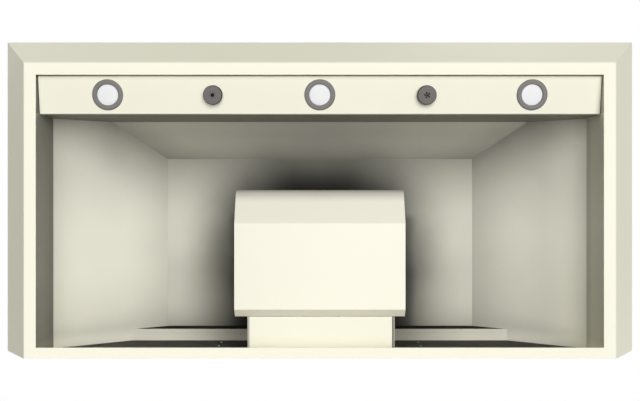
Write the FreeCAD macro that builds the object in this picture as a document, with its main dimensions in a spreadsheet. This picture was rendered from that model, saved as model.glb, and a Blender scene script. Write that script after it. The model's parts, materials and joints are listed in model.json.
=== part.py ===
import FreeCAD, Part
import os
import re
import Sketcher

# Wall mount range hood, millimetres. X runs along the wall, the wall is the plane Y = 0, the hood
# reaches forward to -Y, and Z = 0 is the downward face of the rim round the open mouth.

SIZES = (
    ("hood_width", 1219.2, "overall width, across the upper edge of the flared lip"),
    ("hood_depth", 602.0, "wall to the upper edge of the lip"),
    ("hood_height", 457.2, "rim face to flat top"),
    ("top_depth", 325.0, "wall to the front edge of the flat top"),
    ("lip_height", 88.0, "height of the flared lip"),
    ("side_flare", 60.6, "outward flare of the lip at the sides"),
    ("front_flare", 53.0, "outward flare of the lip at the front"),
    ("rim_band", 22.2, "width of the flat rim at front and sides"),
    ("rear_band", 20.4, "width of the flat rim at the wall"),
    ("sheet_wall", 1.2, "canopy sheet"),
    ("bend_radius", 2.6, "outside radius of the canopy bends"),
    ("top_flange", 22.0, "flange of the front panel under the top"),
    ("liner_wall", 1.0, "liner and blower sheet"),
    ("liner_flange", 14.0, "flanges of the liner sheets"),
    ("liner_gap", 0.4, "play round the ceiling plate and rail ends"),
    ("skirt_height", 108.0, "height of the upright liner skirt"),
    ("ceiling_height", 258.0, "rim face to the liner ceiling"),
    ("side_inset", 199.0, "plan width of the side slopes"),
    ("front_inset", 143.4, "plan depth of the front slope"),
    ("rail_depth", 24.7, "depth of the rail along the wall"),
    ("rail_drop", 48.0, "rail's lower face below the ceiling"),
    ("rail_heel", 14.0, "upstand of the rail on the wall panel"),
    ("stud_spacing", 406.4, "sideways spacing of the wall screws"),
    ("screw_rise", 45.0, "spacing of the two screw rows"),
    ("screw_height", 142.0, "height of the lower screw row"),
    ("screw_hole", 3.5, "radius of a wall screw hole"),
    ("key_spacing", 812.8, "sideways spacing of the hanging keyholes"),
    ("key_height", 395.0, "height of the keyhole entry"),
    ("key_entry", 7.0, "radius of the keyhole entry"),
    ("key_slot", 3.6, "half width of the keyhole slot"),
    ("key_rise", 15.0, "length of the keyhole slot"),
    ("panel_lift", 9.8, "height of the light panel's front edge"),
    ("panel_face", 71.6, "light panel face, front to rear along the sheet"),
    ("panel_tilt", 9.1, "tilt of the light panel face in degrees"),
    ("panel_gap", 1.2, "gap round the light panel"),
    ("panel_lip", 14.0, "upturned front edge of the light panel"),
    ("panel_bend", 1.2, "outside bend radius of the light panel"),
    ("tab_height", 62.0, "height of the light panel end tabs"),
    ("tab_hole_place", 18.0, "light panel's front edge to the first tab screw"),
    ("tab_hole_step", 34.0, "first tab screw to the second"),
    ("tab_hole_drop", 14.0, "tab screws below the tab's upper edge"),
    ("lamp_place", 34.9, "light panel's front edge to the lamp and knob centres, along the sheet"),
    ("lamp_inset", 128.6, "end of the light panel to the outer lamp"),
    ("lamp_hole", 24.2, "radius of a lamp hole in the panel"),
    ("ring_radius", 29.0, "outer radius of a lamp ring"),
    ("ring_proud", 2.8, "lamp ring below the panel face"),
    ("ring_bevel", 2.3, "bevels of the lamp ring's face"),
    ("ring_neck", 23.6, "outer radius of the ring's neck"),
    ("neck_wall", 1.0, "wall of the ring's neck"),
    ("neck_height", 11.0, "height of the ring's neck"),
    ("lens_opening", 19.6, "radius of the lamp aperture"),
    ("lens_seat", 0.5, "lens seat above the panel face"),
    ("lens_wall", 3.0, "lens thickness"),
    ("lens_sag", 0.56, "lens face below its seat"),
    ("lens_bevel", 0.8, "bevel round the lens face"),
    ("lens_ease", 0.4, "play between lens face and lamp ring"),
    ("lens_play", 0.3, "play between lens edge and neck"),
    ("can_radius", 26.4, "lamp can radius"),
    ("can_height", 53.0, "lamp can height above the panel sheet"),
    ("can_flange", 6.0, "lamp can flange width"),
    ("can_wall", 0.8, "lamp can sheet"),
    ("can_play", 0.6, "play between lamp can and lamp hole"),
    ("bulb_radius", 24.6, "front radius of the reflector lamp"),
    ("bulb_gap", 0.8, "reflector lamp above the ring's neck"),
    ("bulb_rim", 2.8, "straight rim of the reflector lamp"),
    ("bulb_height", 27.0, "ring's neck to the reflector lamp's base"),
    ("knob_inset", 197.5, "outer lamp to the knob beside it"),
    ("knob_radius", 18.3, "knob radius"),
    ("knob_height", 11.5, "knob length"),
    ("knob_gap", 1.2, "gap under the knob's skirt"),
    ("knob_wall", 2.6, "knob skirt wall"),
    ("knob_cavity", 4.0, "depth of the hollow behind the knob"),
    ("knob_chamfer", 1.4, "chamfer round the knob's face"),
    ("knob_seat", 3.0, "knob face to the end of the shaft"),
    ("shaft_radius", 3.0, "switch shaft radius"),
    ("shaft_fit", 0.06, "running clearance of the turning shafts"),
    ("bushing_radius", 4.8, "threaded bushing of a switch"),
    ("bushing_drop", 4.4, "bushing below the panel face"),
    ("switch_size", 32.0, "side of a switch body"),
    ("switch_height", 24.0, "switch body above the panel sheet"),
    ("switch_bore", 14.0, "depth of the shaft in the switch body"),
    ("switch_play", 0.5, "end play of the switch shaft"),
    ("nut_radius", 8.0, "switch nut across corners, halved"),
    ("nut_height", 2.6, "switch nut height"),
    ("cover_width", 325.6, "blower cover width"),
    ("cover_front", 313.7, "wall to the front of the blower cover"),
    ("cover_fold", 249.7, "wall to the front fold of its lower face"),
    ("cover_rear", 71.4, "wall to the rear of the blower cover"),
    ("cover_bevel", 14.6, "bevel along the rear of the cover"),
    ("cover_drop", 218.0, "ceiling to the cover's lower face"),
    ("knee_drop", 182.0, "ceiling to the knee where the front slope meets the front wall"),
    ("split_drop", 108.0, "ceiling to the cover's upper edge"),
    ("cover_play", 3.0, "play between the cover's side openings and the inlet rings"),
    ("knee_radius", 13.0, "outside radius of the cover's knee"),
    ("fold_radius", 3.2, "outside radius of the cover's other bends"),
    ("slide_gap", 0.6, "play between the cover and the fixed scroll"),
    ("side_setback", 4.0, "fixed side plates inside the cover's outline"),
    ("scroll_lap", 32.0, "fixed scroll sheets inside the cover"),
    ("wheel_from_wall", 205.0, "wall to the blower axis"),
    ("wheel_drop", 103.0, "ceiling to the blower axis"),
    ("wheel_radius", 85.0, "blower wheel radius"),
    ("wheel_width", 284.0, "blower wheel width"),
    ("blade_depth", 15.0, "radial depth of a blade"),
    ("blade_wall", 1.2, "blade sheet"),
    ("blade_sweep", 13.0, "forward lean of a blade in degrees"),
    ("blade_count", 32, "number of blades"),
    ("ring_width", 4.0, "end ring width of the wheel"),
    ("disc_wall", 2.0, "centre disc of the wheel"),
    ("hub_radius", 13.0, "hub radius"),
    ("hub_length", 36.0, "hub length"),
    ("axle_radius", 6.0, "motor shaft radius"),
    ("axle_end", 4.0, "motor shaft past the hub"),
    ("axle_play", 1.0, "end play of the motor shaft in the motor"),
    ("arc_radius", 95.0, "radius of the rolled scroll sheet"),
    ("arc_drop", 2.0, "centre of the rolled sheet below the blower axis"),
    ("outlet_front", 190.0, "wall to the front of the blower outlet"),
    ("inlet_radius", 68.5, "throat radius of an inlet ring"),
    ("inlet_flange", 90.0, "flange radius of an inlet ring"),
    ("inlet_depth", 14.0, "throat length of an inlet ring"),
    ("inlet_wall", 1.2, "inlet ring sheet"),
    ("inlet_mouth", 8.5, "widening of the bell mouth"),
    ("inlet_play", 1.0, "play between bell mouth and side plate"),
    ("screw_edge", 5.0, "edge of the inlet flange to its screws"),
    ("motor_radius", 44.0, "motor radius"),
    ("motor_start", 40.0, "centre plane to the motor's shaft end"),
    ("motor_end", 170.0, "centre plane to the motor's outer end"),
    ("motor_bore", 80.0, "depth of the shaft in the motor"),
    ("boss_wall", 8.0, "wall of the motor's bearing boss"),
    ("boss_length", 6.0, "length of the bearing boss"),
    ("crown_width", 9.0, "radial width of the motor's domed end"),
    ("tail_length", 12.0, "length of the motor's tapered end"),
    ("tail_width", 14.0, "radial width of the motor's tapered end"),
    ("arm_width", 16.0, "width of a motor arm"),
    ("arm_wall", 3.0, "motor bracket thickness"),
    ("arm_edge", 0.5, "motor arm inside the edge of the inlet flange"),
    ("band_width", 24.0, "width of the motor band"),
    ("catch_width", 18.0, "width of a spring catch"),
    ("catch_place", 99.0, "wall to the middle of a spring catch"),
    ("catch_rise", 22.0, "catch above the cover's upper edge"),
    ("catch_drop", 24.0, "catch below the cover's upper edge"),
    ("catch_seat", 8.0, "height of the catch's seat on the side plate"),
    ("catch_toe", 6.0, "height of the catch's turned-out toe"),
    ("catch_flare", 3.0, "turn-out of the toe"),
    ("catch_gap", 0.4, "play between catch and cover"),
    ("frame_lap", 2.0, "outlet sheet outside the opening in the ceiling"),
    ("frame_flange", 10.0, "foot flange of the outlet sheet"),
    ("duct_radius", 75.6, "outer radius of the duct collar"),
    ("duct_wall", 0.8, "duct collar sheet"),
    ("duct_rise", 52.0, "duct collar height"),
    ("duct_flange", 96.0, "radius of the collar's foot"),
    ("duct_from_wall", 165.0, "wall to the duct axis"),
    ("duct_ledge", 5.0, "width of the damper's stop ledge"),
    ("pin_height", 22.0, "damper pin above the top"),
    ("pin_radius", 2.0, "damper pin radius"),
    ("pin_fit", 0.08, "running clearance of the damper hinge"),
    ("pin_play", 0.1, "damper pin short of the collar's outside"),
    ("barrel_radius", 3.1, "damper hinge barrel radius"),
    ("barrel_length", 25.0, "length of one hinge barrel"),
    ("barrel_gap", 5.0, "gap between hinge barrels"),
    ("barrel_play", 0.4, "gap between a hinge barrel and the other flap"),
    ("flap_radius", 72.3, "damper flap radius"),
    ("flap_wall", 0.8, "damper flap sheet"),
    ("flap_gap", 0.4, "rest gap between flap and ledge"),
    ("box_drop", 203.0, "ceiling to the wiring box's lower edge"),
    ("box_width", 282.0, "wiring box width"),
    ("box_shift", 2.3, "wiring box to the right of the middle"),
    ("box_gap", 0.5, "gap between the blower cover and the wiring box"),
    ("lid_gap_left", 0.6, "gap at the left of the wiring lid"),
    ("lid_gap_right", 4.0, "gap at the right of the wiring lid"),
    ("lid_step", 8.0, "height of the wiring lid's joggle"),
    ("lid_grip", 14.0, "spring flange of the wiring lid"),
    ("block_length", 80.0, "terminal block length"),
    ("block_depth", 22.0, "terminal block depth"),
    ("block_height", 20.0, "terminal block height"),
    ("block_place", 14.0, "terminal block behind the front of the wiring box"),
    ("block_bevel", 6.0, "sideways bevel of the terminal block"),
    ("block_shoulder", 8.0, "height of that bevel"),
    ("strap_inset", 76.0, "end of the ceiling plate to a hanger strap"),
    ("strap_width", 30.0, "hanger strap width"),
    ("strap_foot", 20.0, "hanger strap foot"),
    ("strap_wall", 1.5, "hanger strap sheet"),
    ("gland_place", 330.0, "centre to the cable gland"),
    ("gland_from_wall", 80.0, "wall to the cable gland"),
    ("gland_bore", 8.0, "cable gland bore radius"),
    ("gland_neck", 10.8, "cable gland neck radius"),
    ("gland_play", 0.2, "play of the gland in the top"),
    ("gland_reach", 12.0, "gland above and below the top"),
    ("gland_collar", 6.0, "width of the gland's collar"),
    ("gland_flat", 4.0, "straight height of the gland's collar"),
    ("gland_nose", 2.5, "gland's upper end outside its neck"),
    ("bush_play", 0.2, "play of a switch bushing in the light panel"),
    ("rivet_radius", 2.0, "small screw shank radius"),
    ("rivet_play", 0.1, "play round small screws"),
    ("rivet_head", 3.8, "small screw head radius"),
    ("rivet_rise", 2.0, "small screw head height"),
    ("rivet_grip", 6.0, "small screw length under the head"),
    ("cut_margin", 20.0, "cutting outlines past the sheet they cut"),
)

doc = FreeCAD.newDocument("RangeHood")
sheet = doc.addObject("Spreadsheet::Sheet", "Dim")
for row, (alias, number, note) in enumerate(SIZES, 1):
    sheet.set("A%d" % row, alias)
    sheet.set("B%d" % row, str(number))
    sheet.setAlias("B%d" % row, alias)
    sheet.set("C%d" % row, note)
doc.recompute()

ALIAS = re.compile("[a-z]+(_[a-z]+)+")
made = []


def bound(text):
    """Expression text with every size name read from the sheet."""
    return ALIAS.sub(r"Dim.\g<0>", text)


def size(alias):
    return float(sheet.get(alias))


def new_body(label):
    body = doc.addObject("PartDesign::Body", label)
    body.Label = label
    made.append(body)
    return body


def new_sketch(body, plane):
    sketch = body.newObject("Sketcher::SketchObject", "Outline")
    support = [item for item in body.Origin.OriginFeatures if item.Role == plane][0]
    sketch.AttachmentSupport = [(support, "")]
    sketch.MapMode = "FlatFace"
    return sketch


def pin_point(sketch, curve, point, start, across, up):
    """Two dimensions from the sketch origin hold one point."""
    for kind, seed, text in (("DistanceX", start.x, across), ("DistanceY", start.y, up)):
        index = sketch.addConstraint(Sketcher.Constraint(kind, -1, 1, curve, point, seed))
        sketch.setExpression("Constraints[%d]" % index, bound(text))


def draw_loop(sketch, corners):
    """Closed outline of straight edges, every corner dimensioned."""
    count = len(corners)
    turn = FreeCAD.Rotation(FreeCAD.Vector(0, 0, 1), 360.0 / count)
    seeds = [FreeCAD.Vector(50, 0, 0)]
    while len(seeds) < count:
        seeds.append(turn.multVec(seeds[-1]))
    first = sketch.GeometryCount
    for step in range(count):
        sketch.addGeometry(Part.LineSegment(seeds[step], seeds[(step + 1) % count]), False)
    for step in range(count):
        follower = first + (step + 1) % count
        sketch.addConstraint(Sketcher.Constraint("Coincident", first + step, 2, follower, 1))
    for step, (across, up) in enumerate(corners):
        pin_point(sketch, first + step, 1, seeds[step], across, up)


def draw_circle(sketch, across, up, radius):
    curve = sketch.addGeometry(Part.Circle(FreeCAD.Vector(), FreeCAD.Vector(0, 0, 1), 10), False)
    pin_point(sketch, curve, 3, FreeCAD.Vector(), across, up)
    index = sketch.addConstraint(Sketcher.Constraint("Radius", curve, 10))
    sketch.setExpression("Constraints[%d]" % index, bound(radius))


def prism(body, plane, low, high, loops=(), circles=(), cut=False):
    """Pad or pocket between two heights along the normal of an origin plane."""
    sketch = new_sketch(body, plane)
    sign = "-0.5" if plane == "XZ_Plane" else "0.5"
    sketch.setExpression("AttachmentOffset.Base.z", bound("%s * ((%s) + (%s))" % (sign, low, high)))
    for corners in loops:
        draw_loop(sketch, corners)
    for across, up, radius in circles:
        draw_circle(sketch, across, up, radius)
    feature = body.newObject("PartDesign::Pocket" if cut else "PartDesign::Pad", "Prism")
    feature.Profile = sketch
    feature.SideType = "Symmetric"
    feature.setExpression("Length", bound("(%s) - (%s)" % (high, low)))
    return feature


def turned(body, plane, axis, corners, angle=360, flip=False):
    """Outline revolved about one axis of its sketch."""
    sketch = new_sketch(body, plane)
    draw_loop(sketch, corners)
    feature = body.newObject("PartDesign::Revolution", "Turned")
    feature.Profile = sketch
    feature.ReferenceAxis = (sketch, [axis])
    feature.Angle = angle
    feature.Reversed = flip
    return feature


def repeat(body, feature, axis, count):
    """Polar pattern of one feature about an origin axis."""
    pattern = body.newObject("PartDesign::PolarPattern", "Repeat")
    pattern.Originals = [feature]
    pattern.Axis = ([item for item in body.Origin.OriginFeatures if item.Role == axis][0], [""])
    pattern.Angle = 360
    pattern.setExpression("Occurrences", bound(count))
    body.Tip = pattern
    return pattern


def round_bends(body, radius, near):
    """Fillet on the straight edges whose two ends both answer the test."""
    doc.recompute()
    base = body.Tip
    names = []
    for index, edge in enumerate(base.Shape.Edges, 1):
        ends = [vertex.Point for vertex in edge.Vertexes]
        if len(ends) == 2 and near(ends[0]) and near(ends[1]):
            names.append("Edge%d" % index)
    fillet = body.newObject("PartDesign::Fillet", "Bend")
    fillet.Base = (base, names)
    fillet.setExpression("Radius", bound(radius))
    return fillet


def place(body, across="0", depth="0", height="0", tilt=None):
    body.Placement = FreeCAD.Placement(FreeCAD.Vector(), FreeCAD.Rotation(FreeCAD.Vector(1, 0, 0), 0))
    for letter, text in (("x", across), ("y", depth), ("z", height)):
        body.setExpression("Placement.Base." + letter, bound(text))
    if tilt:
        body.setExpression("Placement.Rotation.Angle", bound(tilt))


def close(first, second):
    return abs(first - second) < 0.02


def mirrored(sign, corners):
    return [("%d * (%s)" % (sign, across), up) for across, up in corners]


def span(sign, near, far):
    """Lower and upper limit of a stretch on the left or the right side."""
    if sign > 0:
        return near, far
    return "-1 * (%s)" % far, "-1 * (%s)" % near


def box_loop(left, right, low, high):
    return [(left, low), (right, low), (right, high), (left, high)]


# Positions shared by several pieces, written with the size names.
HALF = "(hood_width / 2)"
RIM_X = "(hood_width / 2 - side_flare)"
RIM_Y = "(hood_depth - front_flare)"
IN_X = "(hood_width / 2 - side_flare - rim_band)"
IN_Y = "(hood_depth - front_flare - rim_band)"
SIDE_LIP = "sqrt(side_flare ^ 2 + lip_height ^ 2)"
FRONT_LIP = "sqrt(front_flare ^ 2 + lip_height ^ 2)"
UNDER_TOP = "(hood_height - sheet_wall)"
PANEL_RUN = "(hood_depth - top_depth)"
PANEL_RISE = "(hood_height - sheet_wall - lip_height)"
PANEL_LENGTH = "sqrt(%s ^ 2 + %s ^ 2)" % (PANEL_RUN, PANEL_RISE)
RISE = "(ceiling_height - skirt_height)"
FLANGE_Z = "(ceiling_height + liner_wall)"
RAIL_Z = "(ceiling_height - rail_drop)"
PANEL_Y = "(%s - panel_gap)" % IN_Y
RETURN_Y = "(%s - panel_face * cos(panel_tilt * 1 deg))" % PANEL_Y
RETURN_Z = "(panel_lift + panel_face * sin(panel_tilt * 1 deg))"
RETURN_RUN = "(%s - %s - liner_wall)" % (IN_Y, RETURN_Y)
RETURN_TOP = "(skirt_height + %s * %s / front_inset - panel_gap)" % (RETURN_RUN, RISE)
LAMP_X = "(%s - panel_gap - lamp_inset)" % IN_X
KNOB_X = "(%s - knob_inset)" % LAMP_X
LAMP_Y = "(-1 * %s + lamp_place * cos(panel_tilt * 1 deg))" % PANEL_Y
LAMP_Z = "(panel_lift + lamp_place * sin(panel_tilt * 1 deg))"
COVER_Z = "(ceiling_height - cover_drop)"
KNEE_Z = "(ceiling_height - knee_drop)"
SPLIT_Z = "(ceiling_height - split_drop)"
AXIS_Z = "(ceiling_height - wheel_drop)"
BOX_Z = "(ceiling_height - box_drop)"
SIDE_X = "(cover_width / 2 - liner_wall - slide_gap)"
INSIDE_X = "(cover_width / 2 - 2 * liner_wall - slide_gap)"
FRONT_WALL = "(cover_front - liner_wall - slide_gap)"
REAR_WALL = "(cover_rear + liner_wall + slide_gap)"

# Flared lip and rim, three mitred sheets.
front = new_body("lip_front")
prism(front, "YZ_Plane", "-1 * " + HALF, HALF, [[
    ("-1 * " + IN_Y, "0"),
    ("-1 * " + RIM_Y, "0"),
    ("-1 * hood_depth", "lip_height"),
    ("-1 * hood_depth + sheet_wall * %s / lip_height" % FRONT_LIP, "lip_height"),
    ("-1 * %s + sheet_wall * (%s - front_flare) / lip_height" % (RIM_Y, FRONT_LIP), "sheet_wall"),
    ("-1 * " + IN_Y, "sheet_wall"),
]])
FAR_X = "(hood_width / 2 + side_flare / 2)"
FAR_Y = "(-1 * hood_depth - front_flare / 2)"
mitre = [(FAR_X, FAR_Y), (RIM_X, "-1 * " + RIM_Y), (IN_X, "-1 * " + IN_Y)]
for sign in (-1, 1):
    rest = [(IN_X, "-1 * top_depth"), (FAR_X, "-1 * top_depth")]
    prism(front, "XY_Plane", "-1 * cut_margin", "lip_height + cut_margin",
          [mirrored(sign, mitre + rest)], cut=True)
rim_y = size("hood_depth") - size("front_flare")
rim_x = size("hood_width") / 2 - size("side_flare")
round_bends(front, "bend_radius", lambda p: close(p.y, -rim_y) and close(p.z, 0))

for sign, label in ((-1, "lip_left"), (1, "lip_right")):
    lip = new_body(label)
    prism(lip, "XZ_Plane", "-1 * hood_depth", "-1 * sheet_wall", [mirrored(sign, [
        (IN_X, "0"),
        (RIM_X, "0"),
        (HALF, "lip_height"),
        ("%s - sheet_wall * %s / lip_height" % (HALF, SIDE_LIP), "lip_height"),
        ("%s - sheet_wall * (%s - side_flare) / lip_height" % (RIM_X, SIDE_LIP), "sheet_wall"),
        (IN_X, "sheet_wall"),
    ])])
    rest = [("top_depth", "-1 * " + IN_Y), ("top_depth", FAR_Y)]
    prism(lip, "XY_Plane", "-1 * cut_margin", "lip_height + cut_margin",
          [mirrored(sign, mitre + rest)], cut=True)
    round_bends(lip, "bend_radius", lambda p: close(abs(p.x), rim_x) and close(p.z, 0))

# Canopy above the lip.
front = new_body("front_panel")
INNER = "(%s - sheet_wall)" % HALF
prism(front, "YZ_Plane", "-1 * " + INNER, INNER, [[
    ("-1 * hood_depth", "lip_height"),
    ("-1 * top_depth", UNDER_TOP),
    ("-1 * top_depth + top_flange", UNDER_TOP),
    ("-1 * top_depth + top_flange", UNDER_TOP + " - sheet_wall"),
    ("-1 * top_depth + sheet_wall * (%s - %s) / %s" % (PANEL_LENGTH, PANEL_RUN, PANEL_RISE),
     UNDER_TOP + " - sheet_wall"),
    ("-1 * hood_depth + sheet_wall * %s / %s" % (PANEL_LENGTH, PANEL_RISE), "lip_height"),
]])

for sign, label in ((-1, "end_panel_left"), (1, "end_panel_right")):
    end = new_body(label)
    low, high = span(sign, INNER, HALF)
    prism(end, "YZ_Plane", low, high, [[
        ("-1 * hood_depth", "lip_height"),
        ("-1 * top_depth", UNDER_TOP),
        ("-1 * top_depth", "hood_height"),
        ("-1 * sheet_wall", "hood_height"),
        ("-1 * sheet_wall", "lip_height"),
    ]])

SCREW_RING = "((duct_radius + duct_flange) / 2)"
collar_holes = []
for step in range(6):
    angle = "%d deg" % (step * 60)
    collar_holes.append(("%s * cos(%s)" % (SCREW_RING, angle), "%s * sin(%s)" % (SCREW_RING, angle)))

top = new_body("top_panel")
holes = [("0", "-1 * duct_from_wall", "duct_radius - duct_wall"),
         ("gland_place", "-1 * gland_from_wall", "gland_neck + gland_play")]
for across, up in collar_holes:
    holes.append((across, up + " - duct_from_wall", "rivet_radius + rivet_play"))
prism(top, "XY_Plane", UNDER_TOP, "hood_height",
      [box_loop("-1 * " + INNER, INNER, "-1 * top_depth", "-1 * sheet_wall")], holes)

back = new_body("back_panel")
prism(back, "XZ_Plane", "-1 * sheet_wall", "0", [[
    ("-1 * " + RIM_X, "0"), (RIM_X, "0"), (HALF, "lip_height"),
    (HALF, "hood_height"), ("-1 * " + HALF, "hood_height"), ("-1 * " + HALF, "lip_height"),
]])
prism(back, "XY_Plane", "0", "sheet_wall",
      [box_loop("-1 * " + IN_X, IN_X, "-1 * rear_band", "-1 * sheet_wall / 2")])
wall_holes = []
for side in ("-0.5", "0.5"):
    for row in ("screw_height", "screw_height + screw_rise"):
        wall_holes.append(("%s * stud_spacing" % side, row, "screw_hole"))
    wall_holes.append(("%s * key_spacing" % side, "key_height", "key_entry"))
prism(back, "XZ_Plane", "-1 * cut_margin", "cut_margin", circles=wall_holes, cut=True)
slots = []
for side in ("-0.5", "0.5"):
    centre = "%s * key_spacing" % side
    slots.append(box_loop(centre + " - key_slot", centre + " + key_slot",
                          "key_height", "key_height + key_rise"))
prism(back, "XZ_Plane", "-1 * cut_margin", "cut_margin", slots, cut=True)
ends = []
for side in ("-0.5", "0.5"):
    ends.append(("%s * key_spacing" % side, "key_height + key_rise", "key_slot"))
prism(back, "XZ_Plane", "-1 * cut_margin", "cut_margin", circles=ends, cut=True)


# Liner: upright skirt, slope and flanges in one bent sheet for each side.
def liner_corners(edge, inset):
    slope = "sqrt(%s ^ 2 + %s ^ 2)" % (inset, RISE)
    shoulder = "(%s - %s * (%s - skirt_height) / %s)" % (edge, inset, FLANGE_Z, RISE)
    return [
        (edge + " + liner_flange", "sheet_wall"),
        (edge, "sheet_wall"),
        (edge, "skirt_height"),
        (shoulder, FLANGE_Z),
        (shoulder + " - liner_flange", FLANGE_Z),
        (shoulder + " - liner_flange", FLANGE_Z + " + liner_wall"),
        ("%s + liner_wall * (%s - %s) / %s" % (shoulder, slope, inset, RISE), FLANGE_Z + " + liner_wall"),
        (edge + " + liner_wall", "skirt_height + liner_wall * (%s - %s) / %s" % (slope, RISE, inset)),
        (edge + " + liner_wall", "sheet_wall + liner_wall"),
        (edge + " + liner_flange", "sheet_wall + liner_wall"),
    ]


valley = [("%s + side_inset * 0.3" % IN_X, "-1 * %s - front_inset * 0.3" % IN_Y),
          ("%s - side_inset * 1.3" % IN_X, "-1 * %s + front_inset * 1.3" % IN_Y)]
for sign, label in ((-1, "liner_left"), (1, "liner_right")):
    liner = new_body(label)
    prism(liner, "XZ_Plane", "-1 * %s - 2 * liner_flange" % IN_Y, "-1 * sheet_wall",
          [mirrored(sign, liner_corners(IN_X, "side_inset"))])
    rest = [("%s - side_inset * 1.3" % IN_X, "-1 * %s - front_inset * 0.3" % IN_Y)]
    prism(liner, "XY_Plane", "-1 * cut_margin", "hood_height", [mirrored(sign, valley + rest)], cut=True)

liner = new_body("liner_front")
reach = "(%s + 2 * liner_flange)" % IN_X
prism(liner, "YZ_Plane", "-1 * " + reach, reach, [mirrored(-1, liner_corners(IN_Y, "front_inset"))])
for sign in (-1, 1):
    rest = [("%s + side_inset * 0.3" % IN_X, "-1 * %s + front_inset * 1.3" % IN_Y)]
    prism(liner, "XY_Plane", "-1 * cut_margin", "hood_height", [mirrored(sign, valley + rest)], cut=True)

OUTLET_X = "(%s - liner_flange)" % INSIDE_X
OUTLET_REAR = "(%s + liner_wall)" % REAR_WALL
ceiling = new_body("liner_ceiling")
PLATE_X = "(%s - side_inset - liner_wall * side_inset / %s - liner_gap)" % (IN_X, RISE)
PLATE_Y = "(%s - front_inset - liner_wall * front_inset / %s - liner_gap)" % (IN_Y, RISE)
prism(ceiling, "XY_Plane", "ceiling_height", FLANGE_Z, [
    box_loop("-1 * " + PLATE_X, PLATE_X, "-1 * " + PLATE_Y, "-1 * rail_depth - liner_gap"),
    box_loop("-1 * " + OUTLET_X, OUTLET_X, "-1 * outlet_front", "-1 * " + OUTLET_REAR),
])

rail = new_body("rear_rail")
prism(rail, "YZ_Plane", "-1 * " + IN_X, IN_X, [[
    ("-1 * sheet_wall", RAIL_Z + " + rail_heel"),
    ("-1 * sheet_wall", RAIL_Z),
    ("-1 * rail_depth", RAIL_Z),
    ("-1 * rail_depth", FLANGE_Z),
    ("-1 * rail_depth - liner_flange", FLANGE_Z),
    ("-1 * rail_depth - liner_flange", FLANGE_Z + " + liner_wall"),
    ("-1 * rail_depth + liner_wall", FLANGE_Z + " + liner_wall"),
    ("-1 * rail_depth + liner_wall", RAIL_Z + " + liner_wall"),
    ("-1 * sheet_wall - liner_wall", RAIL_Z + " + liner_wall"),
    ("-1 * sheet_wall - liner_wall", RAIL_Z + " + rail_heel"),
]])


def slope_x(height):
    """Sideways position of the side slope's lower face at a height, less the play."""
    return "(%s - liner_gap - side_inset * (%s - skirt_height) / %s)" % (IN_X, height, RISE)


for sign in (-1, 1):
    prism(rail, "XZ_Plane", "-1 * hood_depth", "cut_margin", [mirrored(sign, [
        (slope_x(RAIL_Z) + " + side_inset / %s * cut_margin" % RISE, RAIL_Z + " - cut_margin"),
        (slope_x(FLANGE_Z), FLANGE_Z),
        (slope_x(FLANGE_Z) + " - 2 * liner_flange", FLANGE_Z),
        (slope_x(FLANGE_Z) + " - 2 * liner_flange", FLANGE_Z + " + cut_margin"),
        (IN_X + " + cut_margin", FLANGE_Z + " + cut_margin"),
        (IN_X + " + cut_margin", RAIL_Z + " - cut_margin"),
    ])], cut=True)

for sign, label in ((-1, "hanger_left"), (1, "hanger_right")):
    strap = new_body(label)
    start = "(%s - strap_inset)" % PLATE_X
    foot = start + " + strap_foot"
    web = start + " + strap_wall"
    prism(strap, "XZ_Plane", "-1 * duct_from_wall - strap_width / 2", "-1 * duct_from_wall + strap_width / 2",
          [mirrored(sign, [
              (start, FLANGE_Z), (foot, FLANGE_Z),
              (foot, FLANGE_Z + " + strap_wall"), (web, FLANGE_Z + " + strap_wall"),
              (web, UNDER_TOP + " - strap_wall"), (foot, UNDER_TOP + " - strap_wall"),
              (foot, UNDER_TOP), (start, UNDER_TOP),
          ])])

# Tilted light and control panel with its upright return.
panel = new_body("light_panel")
PANEL_X = "(%s - panel_gap)" % IN_X
SLANT = "tan(panel_tilt * 1 deg)"
THICK = "liner_wall / cos(panel_tilt * 1 deg)"
prism(panel, "YZ_Plane", "-1 * " + PANEL_X, PANEL_X, [[
    ("-1 * " + PANEL_Y, "panel_lift"),
    ("-1 * " + RETURN_Y, RETURN_Z),
    ("-1 * " + RETURN_Y, RETURN_TOP),
    ("-1 * %s - liner_wall" % RETURN_Y, RETURN_TOP),
    ("-1 * %s - liner_wall" % RETURN_Y, "%s - liner_wall * %s + %s" % (RETURN_Z, SLANT, THICK)),
    ("-1 * %s + liner_wall" % PANEL_Y, "panel_lift + liner_wall * %s + %s" % (SLANT, THICK)),
    ("-1 * %s + liner_wall" % PANEL_Y, "panel_lift + panel_lip"),
    ("-1 * " + PANEL_Y, "panel_lift + panel_lip"),
]])
for sign in (-1, 1):
    low, high = span(sign, PANEL_X + " - liner_wall", PANEL_X)
    prism(panel, "YZ_Plane", low, high, [[
        ("-1 * " + PANEL_Y, "panel_lift"), ("-1 * " + RETURN_Y, RETURN_Z),
        ("-1 * " + RETURN_Y, "tab_height"), ("-1 * " + PANEL_Y, "tab_height"),
    ]])
for sign in (-1, 1):
    prism(panel, "XZ_Plane", "-1 * hood_depth", "cut_margin", [mirrored(sign, [
        (IN_X + " - panel_gap", "skirt_height - panel_gap"),
        (slope_x("ceiling_height") + " - panel_gap", "ceiling_height - panel_gap"),
        (IN_X + " + cut_margin", "ceiling_height"), (IN_X + " + cut_margin", "skirt_height - panel_gap"),
    ])], cut=True)
openings = []
for place_x in ("-1 * " + LAMP_X, "0", LAMP_X):
    openings.append((place_x, "0", "lamp_hole"))
for place_x in ("-1 * " + KNOB_X, KNOB_X):
    openings.append((place_x, "0", "bushing_radius + bush_play"))
drilling = prism(panel, "XY_Plane", "-1 * cut_margin", "cut_margin", circles=openings, cut=True)
plan = drilling.Profile[0]
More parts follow.
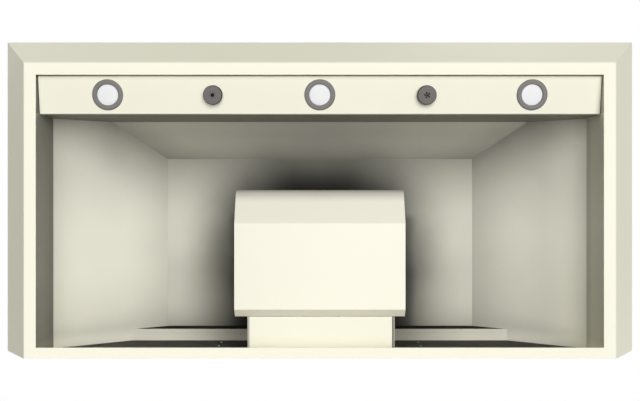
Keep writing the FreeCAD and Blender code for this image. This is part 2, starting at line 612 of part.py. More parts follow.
plan.AttachmentOffset = FreeCAD.Placement(FreeCAD.Vector(), FreeCAD.Rotation(FreeCAD.Vector(1, 0, 0), 0))
plan.setExpression("AttachmentOffset.Base.y", bound(LAMP_Y))
plan.setExpression("AttachmentOffset.Base.z", bound(LAMP_Z))
plan.setExpression("AttachmentOffset.Rotation.Angle", bound("panel_tilt"))
TAB_Y = "(-1 * %s + tab_hole_place)" % PANEL_Y
TAB_Z = "tab_height - tab_hole_drop"
tab_holes = [(TAB_Y, TAB_Z, "rivet_radius + rivet_play"),
             (TAB_Y + " + tab_hole_step", TAB_Z, "rivet_radius + rivet_play")]
prism(panel, "YZ_Plane", "-1 * " + HALF, HALF, circles=tab_holes, cut=True)
panel_front = -(size("hood_depth") - size("front_flare") - size("rim_band") - size("panel_gap"))
round_bends(panel, "panel_bend", lambda p: close(p.y, panel_front) and close(p.z, size("panel_lift")))

# The skirts carry the same screw holes as the light panel's tabs.
for body in made:
    if body.Label in ("liner_left", "liner_right"):
        prism(body, "YZ_Plane", "-1 * " + HALF, HALF, circles=tab_holes, cut=True)

screws = new_body("light_panel_screws")
for sign in (-1, 1):
    inner = PANEL_X + " - liner_wall"
    for across, up, radius in tab_holes:
        low, high = span(sign, inner, inner + " + rivet_grip")
        prism(screws, "YZ_Plane", low, high, circles=[(across, up, "rivet_radius")])
        low, high = span(sign, inner + " - rivet_rise", inner)
        prism(screws, "YZ_Plane", low, high, circles=[(across, up, "rivet_head")])

# Three recessed lamps; their own Z axis stands on the panel face.
for side, across in (("left", "-1 * " + LAMP_X), ("centre", "0"), ("right", LAMP_X)):
    ring = new_body("lamp_ring_" + side)
    turned(ring, "XZ_Plane", "V_Axis", [
        ("lens_opening", "-0.3 * ring_proud"),
        ("lens_opening + ring_bevel", "-1 * ring_proud"),
        ("ring_radius - ring_bevel", "-1 * ring_proud"),
        ("ring_radius", "-0.35 * ring_proud"),
        ("ring_radius", "0"),
        ("ring_neck", "0"),
        ("ring_neck", "neck_height"),
        ("ring_neck - neck_wall", "neck_height"),
        ("ring_neck - neck_wall", "lens_seat"),
        ("lens_opening", "lens_seat"),
    ])
    lens = new_body("lamp_lens_" + side)
    turned(lens, "XZ_Plane", "V_Axis", [
        ("0", "lens_seat - lens_sag"),
        ("lens_opening - lens_ease - lens_bevel", "lens_seat - lens_sag"),
        ("lens_opening - lens_ease", "lens_seat"),
        ("ring_neck - neck_wall - lens_play", "lens_seat"),
        ("ring_neck - neck_wall - lens_play", "lens_seat + lens_wall"),
        ("0", "lens_seat + lens_wall"),
    ])
    can = new_body("lamp_can_" + side)
    turned(can, "XZ_Plane", "V_Axis", [
        ("lamp_hole + can_play", "liner_wall"), ("can_radius + can_flange", "liner_wall"),
        ("can_radius + can_flange", "liner_wall + can_wall"), ("can_radius", "liner_wall + can_wall"),
        ("can_radius", "liner_wall + can_height"), ("0", "liner_wall + can_height"),
        ("0", "liner_wall + can_height - can_wall"),
        ("can_radius - can_wall", "liner_wall + can_height - can_wall"),
        ("can_radius - can_wall", "liner_wall + can_wall"),
        ("lamp_hole + can_play", "liner_wall + can_wall"),
    ])
    bulb = new_body("lamp_bulb_" + side)
    CROWN = "(liner_wall + can_height - can_wall)"
    turned(bulb, "XZ_Plane", "V_Axis", [
        ("0", "neck_height + bulb_gap"), ("bulb_radius", "neck_height + bulb_gap"),
        ("bulb_radius", "neck_height + bulb_gap + bulb_rim"),
        ("bulb_radius * 0.86", "neck_height + bulb_height * 0.45"),
        ("bulb_radius * 0.6", "neck_height + bulb_height * 0.82"),
        ("bulb_radius * 0.42", "neck_height + bulb_height"),
        ("bulb_radius * 0.42", CROWN), ("0", CROWN),
    ])
    for body in (ring, lens, can, bulb):
        place(body, across, LAMP_Y, LAMP_Z, "panel_tilt")

# Two rotary switches; knob and shaft turn together.
for name, across in (("light", "-1 * " + KNOB_X), ("fan", KNOB_X)):
    knob = new_body(name + "_knob")
    turned(knob, "XZ_Plane", "V_Axis", [
        ("shaft_radius + shaft_fit", "-1 * knob_gap - knob_cavity"),
        ("knob_radius - knob_wall", "-1 * knob_gap - knob_cavity"),
        ("knob_radius - knob_wall", "-1 * knob_gap"),
        ("knob_radius", "-1 * knob_gap"),
        ("knob_radius", "-1 * knob_gap - knob_height + knob_chamfer"),
        ("knob_radius - knob_chamfer", "-1 * knob_gap - knob_height"),
        ("0", "-1 * knob_gap - knob_height"),
        ("0", "-1 * knob_gap - knob_height + knob_seat"),
        ("shaft_radius + shaft_fit", "-1 * knob_gap - knob_height + knob_seat"),
    ])
    shaft = new_body(name + "_switch_shaft")
    prism(shaft, "XY_Plane", "-1 * knob_gap - knob_height + knob_seat",
          "liner_wall + switch_bore - switch_play", circles=[("0", "0", "shaft_radius")])
    body = new_body(name + "_switch_body")
    half = "switch_size / 2"
    prism(body, "XY_Plane", "liner_wall", "liner_wall + switch_height",
          [box_loop("-1 * " + half, half, "-1 * " + half, half)])
    prism(body, "XY_Plane", "-1 * bushing_drop", "2 * liner_wall", circles=[("0", "0", "bushing_radius")])
    prism(body, "XY_Plane", "-2 * bushing_drop", "liner_wall + switch_bore",
          circles=[("0", "0", "shaft_radius + shaft_fit")], cut=True)
    for item in (knob, shaft, body):
        place(item, across, LAMP_Y, LAMP_Z, "panel_tilt")

nuts = new_body("switch_nuts")
for across in ("-1 * " + KNOB_X, KNOB_X):
    corners = []
    for step in range(6):
        turn = step * 60
        corners.append(("%s + nut_radius * cos(%d deg)" % (across, turn), "nut_radius * sin(%d deg)" % turn))
    prism(nuts, "XY_Plane", "-1 * nut_height", "0", [corners], [(across, "0", "bushing_radius")])
place(nuts, "0", LAMP_Y, LAMP_Z, "panel_tilt")

# Blower: removable cover below, fixed scroll above it.
cover = new_body("blower_cover")
COVER_X = "(cover_width / 2)"
SLOPE_RUN = "(cover_front - cover_fold)"
SLOPE_DROP = "(cover_drop - knee_drop)"
SLOPE = "sqrt(%s ^ 2 + %s ^ 2)" % (SLOPE_RUN, SLOPE_DROP)
prism(cover, "YZ_Plane", "-1 * " + COVER_X, COVER_X, [[
    ("-1 * cover_front", SPLIT_Z), ("-1 * cover_front", KNEE_Z),
    ("-1 * cover_fold", COVER_Z), ("-1 * cover_rear - cover_bevel", COVER_Z),
    ("-1 * cover_rear", COVER_Z + " + cover_bevel"), ("-1 * cover_rear", SPLIT_Z),
]])
inner = COVER_X + " - liner_wall"
prism(cover, "YZ_Plane", "-1 * (%s)" % inner, inner, [[
    ("-1 * cover_front + liner_wall", SPLIT_Z + " + cut_margin"),
    ("-1 * cover_front + liner_wall",
     "%s + liner_wall * (%s - %s) / %s" % (KNEE_Z, SLOPE, SLOPE_DROP, SLOPE_RUN)),
    ("-1 * cover_fold + liner_wall * (%s - %s) / %s" % (SLOPE, SLOPE_RUN, SLOPE_DROP),
     COVER_Z + " + liner_wall"),
    ("-1 * cover_rear - cover_bevel - liner_wall * tan(22.5 deg)", COVER_Z + " + liner_wall"),
    ("-1 * cover_rear - liner_wall", COVER_Z + " + cover_bevel + liner_wall * tan(22.5 deg)"),
    ("-1 * cover_rear - liner_wall", SPLIT_Z + " + cut_margin"),
]], cut=True)
prism(cover, "YZ_Plane", "-1 * hood_width", "hood_width",
      circles=[("-1 * wheel_from_wall", AXIS_Z, "inlet_flange + cover_play")], cut=True)
cover_half = size("cover_width") / 2
cover_low = size("ceiling_height") - size("cover_drop")
knee_high = size("ceiling_height") - size("knee_drop")
knee_in = size("cover_front") - size("liner_wall")
round_bends(cover, "knee_radius", lambda p: close(p.y, -size("cover_front")) and close(p.z, knee_high))
round_bends(cover, "knee_radius - liner_wall", lambda p: close(p.y, -knee_in) and
            abs(p.z - knee_high) < 2 * size("liner_wall") and abs(p.x) < cover_half - size("liner_wall") / 2)
round_bends(cover, "fold_radius", lambda p: close(p.y, -size("cover_fold")) and close(p.z, cover_low))

for sign, label in ((-1, "scroll_side_left"), (1, "scroll_side_right")):
    side = new_body(label)
    low, high = span(sign, SIDE_X + " - liner_wall", SIDE_X)
    prism(side, "YZ_Plane", low, high, [[
        ("-1 * cover_front + side_setback", "ceiling_height"),
        ("-1 * cover_front + side_setback", KNEE_Z + " + side_setback"),
        ("-1 * cover_fold + side_setback", COVER_Z + " + 1.5 * side_setback"),
        ("-1 * cover_rear - cover_bevel - side_setback / 2", COVER_Z + " + 1.5 * side_setback"),
        ("-1 * " + REAR_WALL, COVER_Z + " + cover_bevel + side_setback"),
        ("-1 * " + REAR_WALL, "ceiling_height"),
    ]], [("-1 * wheel_from_wall", AXIS_Z, "inlet_radius + inlet_mouth + inlet_play")])
    low, high = span(sign, SIDE_X + " - liner_flange", SIDE_X + " - liner_wall / 2")
    prism(side, "XY_Plane", "ceiling_height - liner_wall", "ceiling_height",
          [box_loop(low, high, "-1 * cover_front + 3 * side_setback", "-1 * outlet_front - 2 * liner_wall")])

ARC_Y = "(arc_radius - %s)" % FRONT_WALL
ARC_Z = "(%s - arc_drop)" % AXIS_Z
scroll = new_body("scroll_front")
turned(scroll, "XY_Plane", "H_Axis",
       box_loop("-1 * " + INSIDE_X, INSIDE_X, "-1 * arc_radius", "-1 * arc_radius + liner_wall"), 90, True)
prism(scroll, "YZ_Plane", "-1 * " + INSIDE_X, INSIDE_X,
      [box_loop("-1 * arc_radius", "-1 * arc_radius + liner_wall",
                "%s - scroll_lap - %s" % (SPLIT_Z, ARC_Z), "0")])
TONGUE = "(-1 * outlet_front - %s)" % ARC_Y
prism(scroll, "YZ_Plane", "-1 * " + INSIDE_X, INSIDE_X, [[
    ("-0.01", "arc_radius - liner_wall"), (TONGUE, "arc_radius - liner_wall"),
    (TONGUE, "ceiling_height - " + ARC_Z), (TONGUE + " - liner_wall", "ceiling_height - " + ARC_Z),
    (TONGUE + " - liner_wall", "arc_radius"), ("-0.01", "arc_radius"),
]])
place(scroll, "0", ARC_Y, ARC_Z)

scroll = new_body("scroll_rear")
prism(scroll, "YZ_Plane", "-1 * " + INSIDE_X, INSIDE_X,
      [box_loop("-1 * %s - liner_wall" % REAR_WALL, "-1 * " + REAR_WALL,
                SPLIT_Z + " - scroll_lap", "ceiling_height")])

INLET_TOP = "(inlet_radius + inlet_mouth)"
SCREW_CIRCLE = "(inlet_flange - screw_edge)"
arm_points = []
for step in range(3):
    angle = "%d deg" % (90 + step * 120)
    arm_points.append(("%s * cos(%s)" % (SCREW_CIRCLE, angle), "%s * sin(%s)" % (SCREW_CIRCLE, angle)))
for sign, label in ((-1, "inlet_ring_left"), (1, "inlet_ring_right")):
    inlet = new_body(label)
    turned(inlet, "XY_Plane", "H_Axis", [("%d * (%s)" % (sign, across), up) for across, up in (
        (SIDE_X + " + inlet_wall", "inlet_flange"), (SIDE_X, "inlet_flange"), (SIDE_X, INLET_TOP),
        (SIDE_X + " - 0.35 * inlet_depth", "inlet_radius + 0.4 * inlet_mouth"),
        (SIDE_X + " - inlet_depth", "inlet_radius + inlet_wall"),
        (SIDE_X + " - inlet_depth", "inlet_radius"),
        (SIDE_X + " - 0.3 * inlet_depth", "inlet_radius + 0.4 * inlet_mouth - inlet_wall"),
        (SIDE_X + " + inlet_wall", INLET_TOP + " - inlet_wall"),
    )])
    prism(inlet, "YZ_Plane", "-1 * hood_width", "hood_width",
          circles=[(a, u, "rivet_radius + rivet_play") for a, u in arm_points], cut=True)
    place(inlet, "0", "-1 * wheel_from_wall", AXIS_Z)
for body in made:
    if body.Label in ("scroll_side_left", "scroll_side_right"):
        prism(body, "YZ_Plane", "-1 * hood_width", "hood_width",
              circles=[(a + " - wheel_from_wall", u + " + " + AXIS_Z, "rivet_radius + rivet_play")
                       for a, u in arm_points], cut=True)

wheel = new_body("blower_wheel")
turned(wheel, "XY_Plane", "H_Axis", [
    ("-1 * disc_wall / 2", "hub_radius"), ("-1 * hub_length / 2", "hub_radius"),
    ("-1 * hub_length / 2", "axle_radius + shaft_fit"), ("hub_length / 2", "axle_radius + shaft_fit"),
    ("hub_length / 2", "hub_radius"), ("disc_wall / 2", "hub_radius"),
    ("disc_wall / 2", "wheel_radius - blade_wall"), ("-1 * disc_wall / 2", "wheel_radius - blade_wall"),
])
outer = []
inner_side = []
for step in range(4):
    part = step / 3.0
    radius = "(wheel_radius - blade_wall / 2 - blade_depth * %.4f)" % (1 - part)
    lean = "(blade_sweep * %.4f * 1 deg)" % (part * part)
    back_lean = "(blade_sweep * %.4f * 1 deg + blade_wall / %s * 57.29578 deg)" % (part * part, radius)
    outer.append(("%s * cos(%s)" % (radius, lean), "%s * sin(%s)" % (radius, lean)))
    inner_side.append(("%s * cos(%s)" % (radius, back_lean), "%s * sin(%s)" % (radius, back_lean)))
blade = prism(wheel, "YZ_Plane", "-1 * wheel_width / 2 + ring_width / 2", "wheel_width / 2 - ring_width / 2",
              [outer + inner_side[::-1]])
repeat(wheel, blade, "X_Axis", "blade_count")
for sign in (-1, 1):
    low, high = span(sign, "wheel_width / 2 - ring_width", "wheel_width / 2")
    turned(wheel, "XY_Plane", "H_Axis",
           box_loop(low, high, "wheel_radius - blade_depth / 2", "wheel_radius"))

motor = new_body("motor_body")
turned(motor, "XY_Plane", "H_Axis", [
    ("-1 * motor_start", "axle_radius + shaft_fit"), ("-1 * motor_start", "axle_radius + boss_wall"),
    ("-1 * motor_start - boss_length", "axle_radius + boss_wall"),
    ("-1 * motor_start - 1.5 * boss_length", "motor_radius - crown_width"),
    ("-1 * motor_start - 3 * boss_length", "motor_radius"), ("-1 * motor_end + tail_length", "motor_radius"),
    ("-1 * motor_end", "motor_radius - tail_width"), ("-1 * motor_end", "0"),
    ("-1 * motor_start - motor_bore", "0"), ("-1 * motor_start - motor_bore", "axle_radius + shaft_fit"),
])
axle = new_body("motor_shaft")
prism(axle, "YZ_Plane", "-1 * motor_start - motor_bore + axle_play", "hub_length / 2 + axle_end",
      circles=[("0", "0", "axle_radius")])
bracket = new_body("motor_bracket")
ARM_X = "(-1 * %s - inlet_wall)" % SIDE_X
prism(bracket, "YZ_Plane", ARM_X + " - arm_wall", ARM_X + " - arm_wall + band_width",
      circles=[("0", "0", "motor_radius + arm_wall"), ("0", "0", "motor_radius")])
arm = prism(bracket, "YZ_Plane", ARM_X + " - arm_wall", ARM_X,
            [box_loop("-1 * arm_width / 2", "arm_width / 2",
                      "motor_radius + 0.7 * arm_wall", "inlet_flange - arm_edge")])
repeat(bracket, arm, "X_Axis", "3")
prism(bracket, "YZ_Plane", "-1 * hood_width", "hood_width",
      circles=[(a, u, "rivet_radius + rivet_play") for a, u in arm_points], cut=True)
for body in (wheel, motor, axle, bracket):
    place(body, "0", "-1 * wheel_from_wall", AXIS_Z)

screws = new_body("inlet_screws")
for across, up in arm_points:
    prism(screws, "YZ_Plane", ARM_X + " - arm_wall", ARM_X + " - arm_wall + rivet_grip + arm_wall",
          circles=[(across, up, "rivet_radius")])
    prism(screws, "YZ_Plane", ARM_X + " - arm_wall - rivet_rise", ARM_X + " - arm_wall",
          circles=[(across, up, "rivet_head")])
    outer_x = SIDE_X + " + inlet_wall"
    prism(screws, "YZ_Plane", outer_x + " - rivet_grip", outer_x, circles=[(across, up, "rivet_radius")])
    prism(screws, "YZ_Plane", outer_x, outer_x + " + rivet_rise", circles=[(across, up, "rivet_head")])
place(screws, "0", "-1 * wheel_from_wall", AXIS_Z)

catches = new_body("cover_catches")
for sign in (-1, 1):
    leaf = COVER_X + " + catch_gap"
    corners = [
        (SIDE_X, SPLIT_Z + " + catch_rise"), (leaf + " + liner_wall", SPLIT_Z + " + catch_rise"),
        (leaf + " + liner_wall", SPLIT_Z + " - catch_drop + catch_toe"),
        (leaf + " + liner_wall + catch_flare", SPLIT_Z + " - catch_drop"),
        (leaf + " + catch_flare", SPLIT_Z + " - catch_drop"),
        (leaf, SPLIT_Z + " - catch_drop + catch_toe"), (leaf, SPLIT_Z + " + catch_rise - catch_seat"),
        (SIDE_X, SPLIT_Z + " + catch_rise - catch_seat"),
    ]
    prism(catches, "XZ_Plane", "-1 * catch_place - catch_width / 2", "-1 * catch_place + catch_width / 2",
          [mirrored(sign, corners)])

# Outlet from the scroll to the round duct collar.
duct = new_body("outlet_transition")
LOW = FLANGE_Z
FRAME_X = "(%s + frame_lap)" % OUTLET_X
FRAME_FRONT = "(-1 * outlet_front - frame_lap)"
FRAME_REAR = "(-1 * %s + frame_lap)" % OUTLET_REAR


def duct_section(height, inset, round_end):
    section = new_sketch(duct, "XY_Plane")
    section.setExpression("AttachmentOffset.Base.z", bound(height))
    if round_end:
        draw_circle(section, "0", "-1 * duct_from_wall", "duct_radius - duct_wall + frame_lap - %s" % inset)
    else:
        draw_loop(section, box_loop("-1 * %s + %s" % (FRAME_X, inset), "%s - %s" % (FRAME_X, inset),
                                    "%s + %s" % (FRAME_FRONT, inset), "%s - %s" % (FRAME_REAR, inset)))
    return section


shell = duct.newObject("PartDesign::AdditiveLoft", "Shell")
shell.Profile = duct_section(LOW, "0", False)
shell.Sections = [duct_section(UNDER_TOP, "0", True)]
hollow = duct.newObject("PartDesign::SubtractiveLoft", "Hollow")
hollow.Profile = duct_section(LOW, "liner_wall", False)
hollow.Sections = [duct_section(UNDER_TOP, "liner_wall", True)]
prism(duct, "XY_Plane", LOW, LOW + " + liner_wall", [
    box_loop("-1 * %s - frame_flange" % FRAME_X, FRAME_X + " + frame_flange",
             FRAME_FRONT + " - frame_flange", FRAME_REAR + " + frame_flange"),
    box_loop("-1 * %s + liner_wall" % FRAME_X, FRAME_X + " - liner_wall",
             FRAME_FRONT + " + liner_wall", FRAME_REAR + " - liner_wall"),
])

collar = new_body("duct_collar")
BORE = "(duct_radius - duct_wall)"
LEDGE_Z = "(pin_height - barrel_radius - flap_gap)"
turned(collar, "XZ_Plane", "V_Axis", [
    (BORE, "0"), ("duct_flange", "0"), ("duct_flange", "sheet_wall"), ("duct_radius", "sheet_wall"),
    ("duct_radius", "duct_rise"), (BORE, "duct_rise"), (BORE, LEDGE_Z), (BORE + " - duct_ledge", LEDGE_Z),
    (BORE + " - duct_ledge", LEDGE_Z + " - duct_wall"), (BORE, LEDGE_Z + " - duct_wall"),
])
prism(collar, "XY_Plane", "-1 * sheet_wall", "2 * sheet_wall",
      circles=[(a, u, "rivet_radius + rivet_play") for a, u in collar_holes], cut=True)
prism(collar, "YZ_Plane", "-1 * hood_width", "hood_width",
      circles=[("0", "pin_height", "pin_radius")], cut=True)
screws = new_body("collar_screws")
prism(screws, "XY_Plane", "sheet_wall - rivet_grip", "sheet_wall",
      circles=[(a, u, "rivet_radius") for a, u in collar_holes])
prism(screws, "XY_Plane", "sheet_wall", "sheet_wall + rivet_rise",
      circles=[(a, u, "rivet_head") for a, u in collar_holes])
pin = new_body("damper_pin")
prism(pin, "YZ_Plane", "-1 * duct_radius + pin_play", "duct_radius - pin_play",
      circles=[("0", "pin_height", "pin_radius")])
for body in (collar, screws, pin):
    place(body, "0", "-1 * duct_from_wall", "hood_height")

STEP = "(barrel_length + barrel_gap)"
for sign, label in ((-1, "damper_flap_front"), (1, "damper_flap_rear")):
    flap = new_body(label)
    prism(flap, "XY_Plane", "-1 * barrel_radius", "-1 * barrel_radius + flap_wall",
          circles=[("0", "0", "flap_radius")])
    starts = []
    for slot in (-2, 0):
        starts.append("(%s * %s + barrel_gap / 2)" % (slot + (1 if sign > 0 else 0), STEP))
    edge = "%d * (barrel_radius + barrel_play)" % sign
    beyond = "%d * (-2 * flap_radius)" % sign
    tabs = []
    for start in starts[::-1]:
        end = start + " + barrel_length"
        tabs += [(end, edge), (end, "0"), (start, "0"), (start, edge)]
    trim = [("-2 * flap_radius", edge), ("-2 * flap_radius", beyond),
            ("2 * flap_radius", beyond), ("2 * flap_radius", edge)]
    prism(flap, "XY_Plane", "-1 * cut_margin", "cut_margin", [trim + tabs], cut=True)
    for start in starts:
        prism(flap, "YZ_Plane", start, start + " + barrel_length", circles=[("0", "0", "barrel_radius")])
    prism(flap, "YZ_Plane", "-1 * hood_width", "hood_width",
          circles=[("0", "0", "pin_radius + pin_fit")], cut=True)
    place(flap, "0", "-1 * duct_from_wall", "hood_height + pin_height")

# Wiring compartment between the blower and the wall.
box = new_body("wiring_box")
BOX_X = "(box_width / 2)"
BOX_FRONT = "(-1 * cover_rear + box_gap)"
prism(box, "XZ_Plane", BOX_FRONT, "-1 * sheet_wall", [[
    ("-1 * " + BOX_X, BOX_Z), ("-1 * %s + liner_wall" % BOX_X, BOX_Z),
    ("-1 * %s + liner_wall" % BOX_X, RAIL_Z + " - liner_wall"),
    (BOX_X + " - liner_wall", RAIL_Z + " - liner_wall"),
    (BOX_X + " - liner_wall", BOX_Z), (BOX_X, BOX_Z), (BOX_X, RAIL_Z), ("-1 * " + BOX_X, RAIL_Z),
]])
lid = new_body("wiring_cover")
GRIP_X = "(box_width / 2 - liner_wall)"


def lid_half(gap):
    """Right half of the lid's section: face, joggle and spring flange."""
    face = "(%s - %s)" % (GRIP_X, gap)
    return [
        (face, BOX_Z), (face, BOX_Z + " + lid_step"), (GRIP_X, BOX_Z + " + lid_step"),
        (GRIP_X, BOX_Z + " + lid_step + lid_grip"),
        (GRIP_X + " - liner_wall", BOX_Z + " + lid_step + lid_grip"),
        (GRIP_X + " - liner_wall", BOX_Z + " + lid_step + liner_wall"),
        (face + " - liner_wall", BOX_Z + " + lid_step + liner_wall"),
        (face + " - liner_wall", BOX_Z + " + liner_wall"),
    ]


prism(lid, "XZ_Plane", BOX_FRONT, "-1 * sheet_wall - liner_gap",
      [lid_half("lid_gap_right") + mirrored(-1, lid_half("lid_gap_left"))[::-1]])

block = new_body("terminal_block")
HALF_BLOCK = "(block_length / 2)"
SEAT_Z = RAIL_Z + " - liner_wall"
prism(block, "XZ_Plane", BOX_FRONT + " + block_place", BOX_FRONT + " + block_place + block_depth", [[
    ("-1 * " + HALF_BLOCK, SEAT_Z),
    ("-1 * " + HALF_BLOCK, SEAT_Z + " - block_height + block_shoulder"),
    ("-1 * %s + block_bevel" % HALF_BLOCK, SEAT_Z + " - block_height"),
    (HALF_BLOCK + " - block_bevel", SEAT_Z + " - block_height"),
    (HALF_BLOCK, SEAT_Z + " - block_height + block_shoulder"),
    (HALF_BLOCK, SEAT_Z),
]])
for body in (box, lid, block):
    place(body, "box_shift")

gland = new_body("cable_gland")
turned(gland, "XZ_Plane", "V_Axis", [
    ("gland_bore", "-1 * gland_reach"), ("gland_neck", "-1 * gland_reach"), ("gland_neck", "0"),
    ("gland_neck + gland_collar", "0"), ("gland_neck + gland_collar", "gland_flat"),
    ("gland_neck + gland_nose", "gland_reach"), ("gland_bore", "gland_reach"),
])
place(gland, "gland_place", "-1 * gland_from_wall", "hood_height")

doc.recompute()
faults = []
for item in doc.Objects:
    if "Invalid" in item.State or "Error" in item.State:
        faults.append(item.Label)
for body in made:
    if body.Shape.isNull() or not body.Shape.isValid() or not body.Shape.Solids:
        faults.append(body.Label)
if faults:
    raise RuntimeError("not built: " + ", ".join(faults))

os.makedirs("parts", exist_ok=True)
for body in made:
    body.Shape.exportStep("parts/%s.step" % body.Label)
print(len(made), "pieces")
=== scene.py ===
"""Looks of a wall mount range hood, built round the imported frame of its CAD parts."""

import json
import math

import bmesh
import bpy
from bpy.props import FloatProperty, FloatVectorProperty, IntProperty, PointerProperty
from mathutils import Matrix, Vector


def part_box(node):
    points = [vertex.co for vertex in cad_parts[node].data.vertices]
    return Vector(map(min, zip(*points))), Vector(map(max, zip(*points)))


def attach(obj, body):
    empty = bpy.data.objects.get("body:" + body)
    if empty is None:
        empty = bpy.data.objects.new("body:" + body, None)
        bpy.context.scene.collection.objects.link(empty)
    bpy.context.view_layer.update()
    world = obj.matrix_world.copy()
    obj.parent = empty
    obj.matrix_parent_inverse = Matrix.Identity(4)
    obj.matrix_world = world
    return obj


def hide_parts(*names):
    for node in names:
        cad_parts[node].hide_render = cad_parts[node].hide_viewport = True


bl_info = {
    "name": "Range Hood Looks",
    "version": (1, 0, 0),
    "blender": (4, 5, 0),
    "location": "View3D > Sidebar > Range Hood",
    "description": "Enamel, lamps, knobs, blower cover and small metalwork of a wall mount range hood",
    "category": "Object",
}

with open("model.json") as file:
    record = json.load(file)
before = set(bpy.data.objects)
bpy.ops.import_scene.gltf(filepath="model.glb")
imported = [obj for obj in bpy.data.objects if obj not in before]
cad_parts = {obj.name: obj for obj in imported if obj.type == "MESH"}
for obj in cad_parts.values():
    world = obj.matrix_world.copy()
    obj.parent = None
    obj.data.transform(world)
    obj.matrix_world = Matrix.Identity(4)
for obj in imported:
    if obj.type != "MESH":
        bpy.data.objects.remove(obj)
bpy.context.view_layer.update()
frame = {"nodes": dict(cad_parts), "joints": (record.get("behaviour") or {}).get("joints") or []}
NODES = frame["nodes"]
JOINTS = {joint["name"]: joint for joint in frame["joints"]}
FAN_AXIS = JOINTS["fan_spin"]["pos_m"]
MM = 0.001
SIDES = ("left", "centre", "right")

CANOPY_NODES = ("lip_front", "lip_left", "lip_right", "front_panel", "end_panel_left", "end_panel_right",
                "top_panel")
ZINC_NODES = ("hanger_left", "hanger_right", "scroll_side_left", "scroll_side_right", "scroll_front",
              "scroll_rear", "inlet_ring_left", "inlet_ring_right", "outlet_transition",
              "damper_flap_front", "damper_flap_rear", "motor_bracket", "blower_wheel", "duct_collar")
STEEL_NODES = ("light_switch_shaft", "fan_switch_shaft", "motor_shaft", "damper_pin", "cover_catches",
               "switch_nuts")
PLASTIC_NODES = ("light_switch_body", "fan_switch_body", "terminal_block")

TO_RIGHT = (1.0, 0.0, 0.0)
TO_LEFT = (-1.0, 0.0, 0.0)
TO_WALL = (0.0, 1.0, 0.0)
TO_FRONT = (0.0, -1.0, 0.0)
UPWARD = (0.0, 0.0, 1.0)
DOWNWARD = (0.0, 0.0, -1.0)


def length(name, text, millimetres):
    return FloatProperty(name=name, description=text, default=millimetres * MM, unit="LENGTH", precision=5)


def colour(name, text, *value):
    return FloatVectorProperty(name=name, description=text, default=value, subtype="COLOR", size=3,
                               min=0.0, max=1.0)


def share(name, text, value):
    return FloatProperty(name=name, description=text, default=value, min=0.0, max=1.0, subtype="FACTOR")


def power(name, text, watts):
    return FloatProperty(name=name, description=text, default=watts, unit="POWER")


class HoodFinishes(bpy.types.PropertyGroup):
    canopy: colour("Canopy enamel", "Cream powder coat of the lip, rim and canopy", 0.947, 0.922, 0.772)
    # The real hood has one cream paint. From panel to ceiling the colours are copies of the canopy's cream:
    # lighter as painted light on the lid, liner and wall sheet, and darker as painted shade on the rest, the
    # ceiling most.
    panel: colour("Panel enamel", "Powder coat of the light panel, darkened as painted shade", 0.872, 0.853, 0.697)
    cover: colour("Cover enamel", "Powder coat of the blower cover, darkened as painted shade", 0.90, 0.872, 0.735)
    lid: colour("Lid enamel", "Powder coat of the wiring lid, lightened as painted light", 0.96, 0.934, 0.785)
    liner: colour("Liner enamel", "Powder coat of the liner's sides and the wiring box, lightened as painted light", 0.96, 0.936, 0.795)
    slope: colour("Front slope enamel", "Powder coat of the liner's front sheet, darkened as painted shade", 0.891, 0.868, 0.738)
    rail: colour("Rail enamel", "Powder coat of the rail along the wall, darkened as painted shade", 0.81, 0.79, 0.671)
    wall: colour("Wall sheet enamel", "Powder coat of the wall sheet, lightened as painted light", 0.962, 0.944, 0.787)
    ceiling: colour("Ceiling enamel", "Powder coat of the ceiling plate, darkened as painted shade", 0.57, 0.556, 0.472)
    shadow: colour("Painted shade", "Dark tone of the shade painted inside the hood", 0.012, 0.012, 0.010)
    lip_shade: colour("Lip shade", "Warm dark tone of the shade painted on the canopy above the flat rim", 0.33, 0.327, 0.07)
    trim: colour("Lamp trim", "Satin nickel of the lamp rings", 0.168, 0.163, 0.152)
    glass: colour("Lamp glass", "Frosted lamp glass", 0.93, 0.93, 0.94)
    can: colour("Lamp can", "Spun metal of the lamp cans", 0.55, 0.55, 0.55)
    mirror: colour("Reflector", "Silvered reflectors of the lamps", 0.75, 0.75, 0.74)
    knob: colour("Knob face", "Graphite of the knob faces", 0.109, 0.100, 0.094)
    grip: colour("Knob grip", "Dark moulding of the knob bodies and ribs", 0.018, 0.017, 0.013)
    ink: colour("Knob mark", "Black of the marks on the knobs", 0.006, 0.006, 0.006)
    zinc: colour("Zinc sheet", "Galvanised sheet", 0.52, 0.53, 0.53)
    steel: colour("Plated steel", "Zinc plated small parts", 0.45, 0.45, 0.46)
    motor: colour("Motor", "Black paint of the motor", 0.05, 0.05, 0.055)
    casting: colour("Gland", "Cast metal of the cable gland", 0.42, 0.42, 0.43)
    moulding: colour("Moulding", "Dark plastic of the switches and terminals", 0.03, 0.03, 0.03)


class CoverShape(bpy.types.PropertyGroup):
    fold: length("Fold", "Wall to the front fold of the lower face", 249.7)
    knee: length("Knee", "Height of the knee between front wall and slope", 76.0)
    bevel: length("Bevel", "Bevel along the rear edge", 14.6)
    knee_radius: length("Knee radius", "Outside radius of the knee", 13.0)
    bend_radius: length("Bend radius", "Outside radius of the other bends", 3.2)
    edge_radius: length("Edge radius", "Rounding of the side edges", 1.0)
    notch_radius: length("Notch radius", "Radius of the side notches round the inlets", 93.0)
    wall: length("Sheet", "Sheet thickness", 1.0)


class LampShape(bpy.types.PropertyGroup):
    ring_radius: length("Ring radius", "Outer radius of a lamp ring", 29.0)
    proud: length("Ring height", "Lamp ring below the panel face", 2.8)
    opening: length("Opening", "Radius of the lamp aperture", 19.6)
    neck: length("Neck", "Outer radius of the ring's neck", 23.6)
    neck_height: length("Neck height", "Height of the ring's neck", 11.0)
    seat: length("Seat", "Lens seat above the panel face", 0.5)
    lens_wall: length("Lens", "Lens thickness", 3.0)


